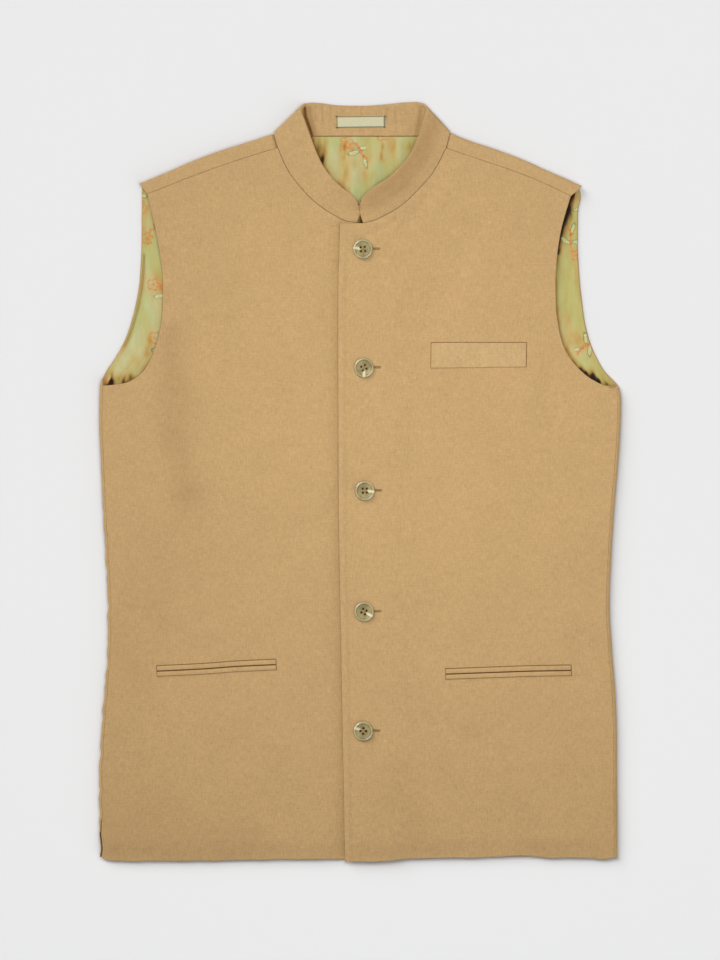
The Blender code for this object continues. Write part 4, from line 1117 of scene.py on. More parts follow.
# Broad shades of the lining: depth, and between which places each comes in across and up
EVERYWHERE = (-1000.0, -999.0)
RIGHT_ARM = (150.0, 150.001)
LEFT_ARM = (-150.0, -150.001)
Shade = namedtuple("Shade", "depth across up")
BROAD_SHADES = table(Shade, (
    (0.12, (150.0, 235.0), (90.0, 120.0)), (-0.36, (-150.0, -235.0), EVERYWHERE),
    (-0.12, (150.0, 235.0), EVERYWHERE), (0.45, EVERYWHERE, (130.0, 108.0)),
    (0.42, RIGHT_ARM, (240.0, 285.0)), (0.20, LEFT_ARM, (205.0, 250.0)),
    (0.10, EVERYWHERE, (322.0, 345.0)),
))
# Tone of level lining and the height where that is, how height and slope change it as painted light
# and shade, and limits
TONE_LEVEL = 0.32
TONE_LEVEL_Z = 2.6
TONE_BY_HEIGHT = 0.22
TONE_BY_SLOPE = 1.1
TONE_LIMITS = (-0.35, 0.8)
# Even band along the lining's edges: how far in it fades, from where up, and its tone
BAND_FADE = (3.2, 5.2)
BAND_Y = (96.0, 106.0)
BAND_TONE = 0.02


def lining_tone(points, from_left, from_right):
    """Shot satin's colour with painted light and shade: -1 golden brown in the hollows, 1 pale
    green on the tops, by height and slope, with painted shade along shaded edges and in hollows.
    """
    x, y, level = np.moveaxis(points, -1, 0)
    slope = np.gradient(level, axis=1) / np.maximum(np.gradient(from_left, axis=1), 0.05)
    tone = TONE_LEVEL + TONE_BY_HEIGHT * (level - TONE_LEVEL_Z) - TONE_BY_SLOPE * slope
    tone = np.clip(tone, *TONE_LIMITS) - fold_height(LINING_SHADES, x, y)
    for shade in BROAD_SHADES:
        tone = tone - shade.depth * ease(*shade.across, x) * ease(*shade.up, y)
    for hollow in HOLLOWS:
        away = np.hypot(x - hollow.x, (y - hollow.y) * HOLLOW_STRETCH)
        tone = tone - hollow.depth * bell(away, hollow.reach)
    edge = np.minimum(from_left, from_right)
    band = (1.0 - ease(*BAND_FADE, edge)) * ease(*BAND_Y, y)
    return tone + band * (BAND_TONE - tone)


def fold_line(side):
    """Ends of the collar's fold, the way it turns out at each, and its own direction."""
    centre, outward = roll_frame(side, 1.0)
    inward = np.array((-outward[1], outward[0])) * (-1.0 if side == "left" else 1.0)
    start = centre + ROLL * outward + COLLAR_SEAM * inward + np.array(FOLD_START_SHIFTS[side])
    end = np.array(FOLD_TOPS[side])
    line = (end - start) / np.linalg.norm(end - start)
    turn = np.array((-line[1], line[0])) * (1.0 if side == "left" else -1.0)
    return start, end, outward, turn, line


def fold_station(side, angle, shares):
    """Line of collar points across the band where it rolls over, at one angle."""
    start, end, outward, turn, line = fold_line(side)
    blend = ease(0.0, FOLD_TURN_SHARE, shares)[:, None]
    direction = outward + blend * (turn - outward)
    direction = direction / np.linalg.norm(direction, axis=1, keepdims=True)
    radius = (ROLL + shares * (FOLD_TOP_RADIUS - ROLL))[:, None]
    crest = start + shares[:, None] * (end - start)
    centre = crest - radius * direction
    slide = -angle * radius * shares[:, None]
    place = centre + radius * math.cos(angle) * direction + slide * line
    return np.concatenate((place, radius + radius * math.sin(angle)), -1)


# How far the collar's front ends bulge over the centre, and the radius of their top corners
END_BULGE = {"left": 2.3, "right": -1.5}
END_POWER = {"left": 1.6, "right": 0.8}
END_FADE = 14.0
END_CORNER = {"left": 3.0, "right": 4.0}
# Soft ridges along the stand: height, turns across it, and where they fade at its ends
STAND_RIDGES = {"left": 0.12, "right": 0.3}
RIDGE_TURNS = 2.2
RIDGE_PHASE = 0.3
RIDGE_START = (0.04, 0.22)
RIDGE_END = (1.0, 0.8)
# About how high and how long the stand is on each front, in mm, and the collar's line counts
STAND_HEIGHT = 24.0
STAND_ARC = 118.0
FOLD_TURNS = 22
COLLAR_BLENDS = 8
COLLAR_BACK_LINES = 90


def stand_station(side, share, shares):
    """Line of collar points on the front, from its seam up to its free edge."""
    rows = STANDS[side]
    seam = NECK_SEAMS[side](share)
    knots = chords([(row.seam_x, row.seam_y) for row in rows])
    *top, rise = Curve(knots, [(row.top_x, row.top_y, row.rise) for row in rows])(share)
    inward = (top - seam) / np.linalg.norm(top - seam)
    low = seam + COLLAR_SEAM * inward
    gone = share * STAND_ARC
    corner = END_CORNER[side]
    kept = max(corner - gone, 0.0)
    cut = (corner - math.sqrt(max(corner ** 2 - kept ** 2, 0.0))) / np.linalg.norm(top - low)
    across = (shares * (1.0 - cut))[:, None]
    place = low + across * (top - low)
    bulge = END_BULGE[side] * bell(gone, END_FADE)
    place[:, 0] += bulge * np.sin(math.pi * shares) ** END_POWER[side]
    surface = under_top if side == "left" else over_top
    level = float(surface(seam[0], seam[1]))
    arch = np.sin(math.pi * across)
    ridges = np.sin(2.0 * RIDGE_TURNS * math.pi * across + RIDGE_PHASE) * arch
    ridges = STAND_RIDGES[side] * ridges * ease(*RIDGE_START, share) * ease(*RIDGE_END, share)
    height = level + rise * across + STAND_CROWN * arch + ridges
    return np.concatenate((place, height), -1)


def blended(first, second, count):
    """Lines between two lines of points, the first left out."""
    return [first + (second - first) * step / count for step in range(1, count + 1)]


def collar_patches():
    """Whole stand collar as lines across it, from one front end round to the other."""
    radius = COLLAR_WALL / 2
    shares = spaced(STAND_HEIGHT, edge_steps(SEAM_ROUND, 5.0, 0.8), 1.0)
    ends = edge_steps(radius * 0.9, 12.0, 1.6)
    gone = np.concatenate((ends, np.arange(ends[-1] + 1.8, STAND_ARC, 1.8), [STAND_ARC]))
    gone = gone / STAND_ARC
    angles = [HALF_TURN - math.pi * step / FOLD_TURNS for step in range(1, FOLD_TURNS + 1)]
    left = [stand_station("left", share, shares) for share in gone]
    left += [fold_station("left", angle, shares) for angle in angles]
    back_rows = Curve(range(len(COLLAR_BACK)), [(r.seam_x, r.top_x, r.top_y) for r in COLLAR_BACK])
    back = []
    for at in np.linspace(0.0, len(COLLAR_BACK) - 1, COLLAR_BACK_LINES):
        seam_x, top_x, top_y = back_rows(at)
        seam = np.array((seam_x, BACK_NECK_Y + COLLAR_SEAM, 0.0))
        top = np.array((top_x, top_y, 0.0))
        back.append(seam + shares[:, None] * (top - seam))
    right = [fold_station("right", angle, shares) for angle in reversed(angles)]
    right += [stand_station("right", share, shares) for share in gone[::-1]]
    lines = left + blended(left[-1], back[0], COLLAR_BLENDS)[:-1] + back
    lines += blended(back[-1], right[0], COLLAR_BLENDS)[:-1] + right
    points = np.array(lines)
    from_left, from_right = from_ends(points, 0)
    from_seam, from_free = from_ends(points, 1)
    share = rounded((from_seam, SEAM_ROUND), (from_free, radius * 1.5),
                    (from_left, radius), (from_right, radius))
    normal = normals_of(points, 1.0)
    inner = points - normal * COLLAR_WALL
    inside = (normal[..., 2] < -0.7) * ease(352.0, 360.0, points[..., 1])
    pucker = fold_height(COLLAR_PUCKERS, inner[..., 0], inner[..., 1]) * inside
    # Painted shade in the inner creases and on the side of the stand away from the light, carried
    # by the tone
    crease = fold_height(CREASE_SHADES, inner[..., 0], inner[..., 1]) * inside
    stand = fold_height(STAND_SHADES, points[..., 0], points[..., 1]) * (normal[..., 2] > 0.3)
    tone = crease + stand
    return [make_patch(points, COLLAR_WALL, share, normal=normal, inner=pucker, tone=tone)]


def above(surface, lift):
    """The same surface, lifted or sunk."""
    return lambda x, y: surface(x, y) + lift


def patch_points(corners, across, up):
    """Four-cornered grid in plan at shares across and up it."""
    places = [np.array((corner.x, corner.y)) for corner in corners]
    start = places[0] + up[:, None] * (places[3] - places[0])
    end = places[1] + up[:, None] * (places[2] - places[1])
    return start[:, None] + across[None, :, None] * (end - start)[:, None]


# Pressed patches: wall, height of their underside over the cloth, edge round, and step
Pressed = namedtuple("Pressed", "wall lift radius step")
WELT_SHADOW_STRIP = Pressed(0.5, -0.32, 0.4, 2.0)
WELT = Pressed(1.5, -0.5, 1.1, 2.0)
LABEL_TAPE = Pressed(0.5, 0.15, 0.25, 0.6)


def pressed_patch(corners, form, surface):
    """Flat patch with rounded edges that lies on a surface."""
    wall, lift, radius, step = form
    places = np.array(corners)
    width = float(np.linalg.norm(places[1] - places[0]))
    length = float(np.linalg.norm(places[3] - places[0]))
    edges = edge_steps(radius, min(4.0, length / 3), step)
    across = spaced(width, edges, step)
    up = spaced(length, edges, step)
    points = on_surface(patch_points(corners, across, up), above(surface, lift), wall)
    gone_x = np.minimum(across, 1 - across) * width
    gone_y = np.minimum(up, 1 - up) * length
    share = rounded((gone_x[None, :], radius), (gone_y[:, None], radius))
    return make_patch(points, wall, share)


def unit_rows(vectors):
    """Directions of one unit's length."""
    return vectors / np.linalg.norm(vectors, axis=1, keepdims=True)


def beside(place, ahead, offset):
    """Plan beside a line: its points moved across it by each offset."""
    side = np.stack((-ahead[:, 1], ahead[:, 0]), -1)
    return place[None] + offset[:, None, None] * side[None]


def jet_patch(mouth, low, high, base):
    """Jet along one lip of a pocket: a narrow roll of cloth."""
    centre = path_curve(mouth)
    length = line_length(mouth, "x", "y")
    along = spaced(length, edge_steps(JET_ROUND, 3.0, 1.2), 1.6)
    up = spaced(high - low, edge_steps(JET_ROUND, 1.6, 0.6), 0.5)
    ahead = unit_rows(centre(along + 0.01) - centre(along - 0.01))
    plan = beside(centre(along), ahead, low + (high - low) * up)
    crown = JET_CROWN * np.sin(math.pi * up) ** 0.7
    points = on_surface(plan, base, JET_LIFT)
    points[..., 2] += crown[:, None]
    gone_x = np.minimum(along, 1 - along) * length
    gone_y = np.minimum(up, 1 - up) * (high - low)
    share = rounded((gone_x[None, :], JET_ROUND), (gone_y[:, None], JET_ROUND))
    return make_patch(points, JET_WALL, share)


def feed(socket, value):
    """Give a shader socket a value, or link it to another node's output."""
    value = getattr(value, "socket", value)
    if isinstance(value, bpy.types.NodeSocket):
        socket.id_data.links.new(value, socket)
    else:
        socket.default_value = value


def add_node(tree, kind, settings=(), inputs=()):
    """Shader node with its settings, and its inputs as values or links."""
    made = tree.nodes.new(kind)
    for name, value in dict(settings).items():
        setattr(made, name, value)
    for name, value in dict(inputs).items():
        feed(made.inputs[name], value)
    return made


class Value:
    """Number that varies over a surface: it adds and multiplies as a plain one does."""

    def __init__(self, socket):
        self.socket = socket

    def __add__(self, other):
        return maths("ADD", self, other)

    def __sub__(self, other):
        return maths("SUBTRACT", self, other)

    def __rsub__(self, other):
        return maths("SUBTRACT", other, self)

    def __mul__(self, other):
        return maths("MULTIPLY", self, other)

    def __abs__(self):
        return maths("ABSOLUTE", self)


def maths(operation, *values):
    """Result of a math node, in the tree of the first value that varies."""
    tree = next(value.socket.id_data for value in values if isinstance(value, Value))
    inputs = dict(enumerate(values))
    return Value(add_node(tree, "ShaderNodeMath", {"operation": operation}, inputs).outputs[0])


def highest(first, *others):
    """Greatest of several values."""
    for other in others:
        first = maths("MAXIMUM", first, other)
    return first


def mix_colour(tree, share, first, second):
    """Mix of two colours."""
    inputs = {0: share, 6: first, 7: second}
    return add_node(tree, "ShaderNodeMix", {"data_type": "RGBA"}, inputs).outputs[2]


def noise(tree, vector, scale, detail=1.0, roughness=0.5):
    """Noise value at a scale per metre."""
    return Value(add_node(tree, "ShaderNodeTexNoise", (), {
        "Vector": vector, "Scale": scale, "Detail": detail, "Roughness": roughness,
    }).outputs["Fac"])


def mapped(tree, place, scale, turn=0.0):
    """Coordinates scaled, and turned about the upright axis."""
    return add_node(tree, "ShaderNodeMapping", (), {
        "Vector": place, "Scale": scale, "Rotation": (0.0, 0.0, turn)}).outputs[0]


def tone_of(tree):
    """The tone that the points of a mesh carry."""
    return Value(add_node(tree, "ShaderNodeAttribute", {"attribute_name": "tone"}).outputs["Fac"])


def parts_of(tree, vector):
    """The three parts of a vector."""
    return [Value(part) for part in add_node(
        tree, "ShaderNodeSeparateXYZ", (), {"Vector": vector}).outputs]


def new_material(name):
    """Principled material with its tree, shader and object coordinates."""
    material = bpy.data.materials.new(name)
    material.use_nodes = True
    tree = material.node_tree
    shader = tree.nodes["Principled BSDF"]
    coordinates = add_node(tree, "ShaderNodeTexCoord").outputs["Object"]
    return material, tree, shader, coordinates


def linear(red, green, blue):
    """Linear colour from display values of 0 to 255."""
    found = []
    for value in (red, green, blue):
        share = value / 255.0
        found.append(share / 12.92 if share <= 0.04045 else ((share + 0.055) / 1.055) ** 2.4)
    return (*found, 1.0)


def scaled(colour, factor):
    """Colour made darker or lighter, up to white."""
    return tuple(min(value * factor, 1.0) for value in colour[:3]) + (1.0,)


def colour_ramp(tree, share, tones):
    """Colour by a share, from a table of places and display colours."""
    ramp = add_node(tree, "ShaderNodeValToRGB", (), {"Fac": share})
    stops = ramp.color_ramp.elements
    for stop, (position, colour) in zip(list(stops), (tones[0], tones[-1])):
        stop.position = position
        stop.color = linear(*colour)
    for position, colour in tones[1:-1]:
        stops.new(position).color = linear(*colour)
    return ramp.outputs["Color"]


def finish_shader(shader, colour, relief, values):
    """Give a shader its colour, its bump (strength, distance and height) and its values."""
    bump = add_node(
        shader.id_data, "ShaderNodeBump", (), dict(zip(("Strength", "Distance", "Height"), relief)))
    for name, value in {"Base Color": colour, "Normal": bump.outputs[0], **values}.items():
        feed(shader.inputs[name], value)


# How much darker and lighter the moleskin's mottling goes
MOTTLE = 0.36


def cloth_material(name, colour):
    """Moleskin: short soft nap with a faint upright grain and slow mottling."""
    material, tree, shader, place = new_material(name)
    slow = noise(tree, place, 14.0, 3.0, 0.55)
    middle = noise(tree, place, 90.0, 3.0, 0.6)
    grain = noise(tree, mapped(tree, place, (1.0, 0.28, 1.0)), 620.0, 2.0, 0.6)
    cross = noise(tree, mapped(tree, place, (0.3, 1.0, 1.0)), 620.0, 2.0, 0.6)
    fine = noise(tree, place, 1900.0, 2.0, 0.7)
    total = slow * 0.14 + middle * 0.20 + grain * 0.52 + cross * 0.38 + fine * 0.76
    dark, light = scaled(colour, 1.0 - MOTTLE), scaled(colour, 1.0 + MOTTLE)
    mottled = mix_colour(tree, total - 0.5, dark, light)
    # Painted shade: the tone that a mesh carries mixes in this darker colour
    shaded = tuple(value * value * 0.7 for value in colour[:3]) + (1.0,)
    finish_shader(
        shader, mix_colour(tree, tone_of(tree), mottled, shaded),
        (0.35, 0.00018, fine * 0.6 + grain + cross * 0.8),
        {"Roughness": 0.92, "Specular IOR Level": 0.18, "Sheen Weight": 0.30,
         "Sheen Roughness": 0.45, "Sheen Tint": (1.0, 0.86, 0.64, 1.0)})
    return material


def band(value, low, high):
    """Soft step down: 1 below low, 0 above high."""
    made = add_node(value.socket.id_data, "ShaderNodeMapRange", {
        "interpolation_type": "SMOOTHSTEP"}, {
        "Value": value, "From Min": low, "From Max": high, "To Min": 1.0, "To Max": 0.0})
    return Value(made.outputs[0])


def oval(u, v, leaf):
    """Distance inside a leaf-like oval: below 1 inside it, with its long axis leaning."""
    cos, sin = math.cos(leaf.lean), math.sin(leaf.lean)
    du, dv = u - leaf.centre[0], v - leaf.centre[1]
    along = du * (cos / leaf.half[0]) + dv * (sin / leaf.half[0])
    aside = dv * (cos / leaf.half[1]) - du * (sin / leaf.half[1])
    return highest(abs(aside) + along * along * 0.55, abs(along))


# Leaves of a sprig: centre, half length and half width, and lean, in mm and radians
Leaf = namedtuple("Leaf", "centre half lean")
LEAVES = table(Leaf, (
    ((-9.5, 4.4), (4.6, 1.7), 0.8), ((-15.0, -4.2), (5.2, 1.7), -2.5),
    ((-21.5, 5.0), (5.0, 1.6), 2.4),
))
SPRIG_CELL = 50.0
SPRIG_SIZE = 1.25
SPRIG_OFFSET = (0.62, 0.35, 0.0)


SPRIG_WOBBLE = 4.4
# A flower of five petals with its outline and heart, and the stem behind it, in mm
FLOWER_RADIUS = 3.0
PETAL_REACH = 2.0
PETAL_TURNS = 2.5
OUTLINE = (0.4, 1.2)
HEART = (1.1, 2.0)
STEM_START = (-4.6, -4.0)
STEM_END = (-27.0, -24.0)
STEM_BEND = 2.4
STEM_TURN = 0.23
STEM = (0.7, 1.5)


def sprig_masks(tree, place):
    """Generic flower and leaf sprigs, one in each cell: orange, leaf and leaf outline."""
    size = 1000.0 / SPRIG_CELL
    spot = add_node(tree, "ShaderNodeMapping", (), {
        "Vector": place, "Location": SPRIG_OFFSET, "Scale": (size, size, 0.0)}).outputs[0]
    cells = add_node(tree, "ShaderNodeTexVoronoi", {"voronoi_dimensions": "2D"}, {
        "Vector": spot, "Scale": 1.0, "Randomness": 0.6})
    away = add_node(tree, "ShaderNodeVectorMath", {"operation": "SUBTRACT"}, {
        0: spot, 1: cells.outputs["Position"]}).outputs[0]
    chance = add_node(tree, "ShaderNodeSeparateColor", (), {"Color": cells.outputs["Color"]})
    turned = add_node(tree, "ShaderNodeVectorRotate", {"rotation_type": "Z_AXIS"}, {
        "Vector": away, "Angle": Value(chance.outputs[0]) * (2.0 * math.pi)}).outputs[0]
    u, v = (part * (SPRIG_CELL / SPRIG_SIZE) for part in parts_of(tree, turned)[:2])
    v = v + (noise(tree, place, 330.0) - 0.5) * SPRIG_WOBBLE
    radius = maths("SQRT", u * u + v * v)
    petal = abs(maths("COSINE", maths("ARCTAN2", v, u) * PETAL_TURNS))
    outline = band(abs(radius - (petal * PETAL_REACH + FLOWER_RADIUS)), *OUTLINE)
    heart = band(radius, *HEART)
    behind = band(u, *STEM_START) * (1.0 - band(u, *STEM_END))
    stem = band(abs(v - maths("SINE", u * STEM_TURN) * STEM_BEND), *STEM) * behind
    reaches = [oval(u, v, leaf) for leaf in LEAVES]
    fills = [band(reach, 0.80, 1.0) for reach in reaches]
    rings = [band(abs(reach - 1.0), 0.10, 0.26) for reach in reaches]
    return highest(outline, heart, stem), highest(*fills), highest(*rings)


# Shot satin from its deepest shade to its palest light, and horn from streak to streak
SATIN_TONES = (
    (0.00, (34, 26, 12)),
    (0.12, (92, 60, 26)),
    (0.26, (152, 108, 52)),
    (0.42, (180, 146, 82)),
    (0.58, (188, 168, 108)),
    (0.76, (188, 181, 130)),
    (1.00, (204, 204, 164)),
)
SATIN_GREEN = (150, 190, 110)
LEAF_GREEN = (196, 208, 160)
LEAF_EDGE = (96, 104, 52)
SPRIG_ORANGE = (214, 104, 52)
HORN_TONES = ((0.34, (134, 121, 80)), (0.68, (170, 158, 112)))
# Where the horn's shades fade, in metres: the painted shade of the groove to each side of its
# circle, the rim's painted highlight, the painted highlight fan aside and outwards, and the painted
# shade at the foot of the outer edge upwards and outwards
GROOVE_RADIUS = 0.0075
GROOVE_SHADE = (0.0002, 0.0007)
RIM = (0.0080, 0.0088)
HIGHLIGHT_ASIDE = (0.0006, 0.0020)
HIGHLIGHT_START = (0.0016, 0.0036)
FOOT_SHADE_Z = (0.0014, 0.0024)
FOOT_SHADE_START = (0.0088, 0.0094)
RINGS_PER_METRE = 4200.0
THREAD_GRAIN = 2200.0
THREAD_CONTRAST = 0.12


def lining_material(name):
    """Shot satin in green and gold with woven sprigs in orange and pale green."""
    material, tree, shader, place = new_material(name)
    slow = noise(tree, mapped(tree, place, (1.0, 0.3, 1.0), 0.12), 120.0, 5.0, 0.68)
    # The tone carries the satin's shot colour together with painted light and shade; sprigs and
    # green fade where it is dark
    share = tone_of(tree) * 0.5 + 0.49 + (slow - 0.5) * 0.60
    satin = colour_ramp(tree, share, SATIN_TONES)
    lit = band(share, 0.30, 0.10)
    thread = noise(tree, mapped(tree, place, (1.0, 0.3, 1.0)), 1300.0)
    greener = band(noise(tree, place, 26.0), 0.60, 0.42) * lit
    green = mix_colour(tree, 0.22, satin, linear(*SATIN_GREEN))
    ground = mix_colour(tree, greener, satin, green)
    orange, leaf, ring = sprig_masks(tree, place)
    speckled = band(noise(tree, place, 1150.0), 0.56, 0.44) * 0.85 + 0.12
    orange = orange * speckled * lit
    colour = mix_colour(tree, leaf * speckled * lit, ground, linear(*LEAF_GREEN))
    colour = mix_colour(tree, ring * 0.6 * lit, colour, linear(*LEAF_EDGE))
    colour = mix_colour(tree, orange, colour, linear(*SPRIG_ORANGE))
    finish_shader(
        shader, colour, (0.3, 0.0001, orange * 0.8 + thread),
        {"Roughness": 0.40, "Specular IOR Level": 0.4, "Anisotropic": 0.4})
    return material


def horn_material(name):
    """Polished horn effect: olive grey with pale streaks and fine turning rings, with painted shade
    in its groove and at its foot and painted highlights on its rim and in a fan.
    """
    material, tree, shader, place = new_material(name)
    streak = noise(tree, mapped(tree, place, (1.0, 0.35, 1.0), 0.6), 170.0, 3.0)
    colour = colour_ramp(tree, streak, HORN_TONES)
    x, y, z = parts_of(tree, place)
    radius = maths("SQRT", x * x + y * y)
    # Pale tint on the rim as painted highlight; the coat there gives it real gloss
    rim = 1.0 - band(radius, *RIM)
    # Painted shade in the turned groove
    groove_shade = band(abs(radius - GROOVE_RADIUS), *GROOVE_SHADE)
    # Fan of painted highlight, out from the centre along the streak's direction
    aside = abs(maths("ARCTAN2", y, x)) * highest(radius, 0.002)
    highlight_fan = band(aside, *HIGHLIGHT_ASIDE) * (1.0 - band(radius, *HIGHLIGHT_START))
    # Painted shade at the foot of the outer edge
    low = band(z, *FOOT_SHADE_Z) * (1.0 - band(radius, *FOOT_SHADE_START))
    for share, tint in (
        (groove_shade * 0.35, (110, 96, 60)), (rim * 0.35, (214, 202, 154)),
        (highlight_fan * 0.72, (236, 226, 188)), (low, (66, 46, 20)),
    ):
        colour = mix_colour(tree, share, colour, linear(*tint))
    rings = maths("SINE", radius * (2.0 * math.pi * RINGS_PER_METRE))
    finish_shader(
        shader, colour, (0.10, 0.00004, rings),
        {"Roughness": 0.30, "Anisotropic": 0.5, "Coat Weight": rim, "Coat IOR": 1.9,
         "Coat Roughness": 0.12})
    return material


def thread_material(name, colour, roughness=0.7, shine=0.3):
    """Thread: a colour with fine variation and relief."""
    material, tree, shader, place = new_material(name)
    grain = noise(tree, place, THREAD_GRAIN, 2.0, 0.6)
    dark, light = scaled(colour, 1.0 - THREAD_CONTRAST), scaled(colour, 1.0 + THREAD_CONTRAST)
    finish_shader(
        shader, mix_colour(tree, grain, dark, light), (0.3, 0.0001, grain),
        {"Roughness": roughness, "Specular IOR Level": shine})
    return material


def label_material(name):
    """Blank woven tape with a thin green edge all round."""
    material, tree, shader, place = new_material(name)
    weave = noise(tree, mapped(tree, place, (0.4, 1.0, 1.0)), 1800.0, 2.0)
    ground = mix_colour(tree, weave, linear(184, 177, 142), linear(212, 205, 170))
    colour = mix_colour(tree, tone_of(tree), ground, linear(74, 92, 66))
    finish_shader(shader, colour, (0.3, 0.00008, weave), {"Roughness": 0.7})
    return material


# Linear colours of the moleskin, and of the welt, which is a little paler
MOLESKIN = (0.484, 0.312, 0.141, 1.0)
WELT_MOLESKIN = (0.505, 0.335, 0.158, 1.0)
CLOTH = cloth_material("moleskin", MOLESKIN)
LINING = lining_material("shot_satin")
HORN = horn_material("horn")
LABEL = label_material("label_tape_weave")
THREAD = thread_material("sewing_thread", linear(176, 140, 92))
DARK_THREAD = thread_material("dark_thread", linear(30, 18, 8), 0.9, 0.05)
CROSS_THREAD = thread_material("button_thread", linear(150, 118, 70))
# Darker moleskin as painted shade: inside the open slit, in the strips round the welt and the jets,
# in the buttonholes' slits and on the tack at the top of the slit
SHADED_MOLESKIN = cloth_material("moleskin_painted_shade", linear(128, 92, 52))
# Still darker moleskin, as painted shade in the pocket mouths
POCKET_SHADE_CLOTH = cloth_material("moleskin_painted_pocket_shade", linear(92, 62, 34))
WELT_CLOTH = cloth_material("moleskin_welt", WELT_MOLESKIN)


def shape_object(name, shape, material=None):
    """Object from a bmesh, smooth where it has a material."""
    mesh = bpy.data.meshes.new(name)
    shape.to_mesh(mesh)
    shape.free()
    if material is not None:
        mesh.materials.append(material)
        mesh.shade_smooth()
    return new_object(name, mesh)


def add_stitches(name, stitches, material):
    """Small raised stitches: each has a centre, a half length direction and a radius."""
    shape = bmesh.new()
    for centre, reach, radius in stitches:
        made = bmesh.ops.create_uvsphere(shape, u_segments=8, v_segments=5, radius=1.0)
        forward = Vector(reach)
        length = forward.length
        turn = Vector((0.0, 0.0, 1.0)).rotation_difference(forward.normalized()).to_matrix()
        for vert in made["verts"]:
            local = Vector((vert.co.x * radius, vert.co.y * radius, vert.co.z * length))
            vert.co = (turn @ local + Vector(centre)) * MM
    piece = shape_object(name, shape, material)
    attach(piece, "root")
    return piece


# Kinds of stitch: half length, radius and height over the cloth, in mm
Stitch = namedtuple("Stitch", "reach radius lift")
SUNK_THREAD = Stitch((0.0, 0.0, 0.5), 0.93, 0.45)
HOLE_BAR = Stitch((0.5, 0.0, 0.0), 0.24, 0.02)
HOLE_SLIT = Stitch((0.9, 0.0, 0.0), 0.17, -0.06)
WELT_STITCH = Stitch((0.45, 0.1, 0.0), 0.16, 0.98)
LABEL_STITCH = Stitch((0.1, 0.8, 0.0), 0.2, 0.5)
TACK_STITCH = Stitch((0.7, 0.0, 0.0), 0.22, 0.05)
# Both edges of a buttonhole, with their distance from its middle
HOLE_EDGES = (
    (0.75, Stitch((0.04, 0.66, 0.0), 0.27, 0.04)), (-0.75, Stitch((0.04, -0.66, 0.0), 0.27, 0.04)))


def stitch(kind, x, y, level):
    """One stitch of a kind, over a level: its centre, half length and radius."""
    return (x, y, level + kind.lift), kind.reach, kind.radius


def turned_disc(name):
    """Button turned from its profile, without its holes."""
    profile = path_curve(BUTTON_PROFILE)(np.linspace(0.0, 1.0, PROFILE_STEPS))
    shape = bmesh.new()
    rings = []
    for radius, height in profile:
        if radius < 1e-4:
            rings.append([shape.verts.new((0.0, 0.0, height * MM))])
            continue
        ring = []
        for step in range(BUTTON_SEGMENTS):
            angle = 2.0 * math.pi * step / BUTTON_SEGMENTS
            ring.append(shape.verts.new((
                radius * math.cos(angle) * MM, radius * math.sin(angle) * MM, height * MM)))
        rings.append(ring)
    for upper, lower in zip(rings, rings[1:]):
        for step in range(BUTTON_SEGMENTS):
            after = (step + 1) % BUTTON_SEGMENTS
            if len(upper) == 1:
                shape.faces.new((upper[0], lower[step], lower[after]))
            elif len(lower) == 1:
                shape.faces.new((upper[step], lower[0], upper[after]))
            else:
                shape.faces.new((upper[step], lower[step], lower[after], upper[after]))
    bmesh.ops.recalc_face_normals(shape, faces=shape.faces)
    return shape_object(name, shape, HORN)


def bore(piece, holes):
    """Cut thread holes through a button."""
    pins = bmesh.new()
    for x, y in holes:
        made = bmesh.ops.create_cone(
            pins, cap_ends=True, segments=20,
            radius1=HOLE_RADIUS * MM, radius2=HOLE_RADIUS * MM, depth=9.0 * MM)
        bmesh.ops.translate(pins, verts=made["verts"], vec=(x * MM, y * MM, 0.0))
    cutter = shape_object("cutter", pins)
    cut = piece.modifiers.new("Holes", "BOOLEAN")
    cut.operation = "DIFFERENCE"
    cut.solver = "EXACT"
    cut.object = cutter
    graph = bpy.context.evaluated_depsgraph_get()
    cut_mesh = bpy.data.meshes.new_from_object(piece.evaluated_get(graph))
    piece.modifiers.clear()
    piece.data = cut_mesh
    bpy.data.objects.remove(cutter)


def add_button(index, button):
    """Turned four-hole button, and the thread across its holes."""
    level = float(over_top(button.x, button.y)) + BUTTON_LIFT
    streak = math.radians(button.streak)
    reach = HOLE_SPACING * math.sqrt(2.0)
    holes = []
    for quarter in range(4):
        angle = math.pi / 4 + quarter * HALF_TURN + math.radians(button.turn) - streak
        holes.append((reach * math.cos(angle), reach * math.sin(angle)))
    piece = turned_disc(f"button_{index}_turned")
    bore(piece, holes)
    piece.location = Vector((button.x, button.y, level)) * MM
    piece.rotation_euler = (0.0, 0.0, streak)
    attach(piece, "root")
    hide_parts(f"button_{index}")
    cos, sin = math.cos(streak), math.sin(streak)
    turned = np.array([(x * cos - y * sin, x * sin + y * cos) for x, y in holes])
    crossing = []
    for first, second in ((0, 2), (1, 3)):
        reach = (turned[second] - turned[first]) / 2 * CROSS_SHARE
        place = (button.x, button.y, level + CROSS_LEVEL)
        crossing.append((place, (reach[0], reach[1], 0.0), CROSS_RADIUS))
    add_stitches(f"button_{index}_cross_thread", crossing, CROSS_THREAD)
    # Near-black thread sunk in the holes, as painted shade in them
    sunk = [stitch(SUNK_THREAD, button.x + x, button.y + y, level) for x, y in turned]
    add_stitches(f"button_{index}_thread", sunk, DARK_THREAD)


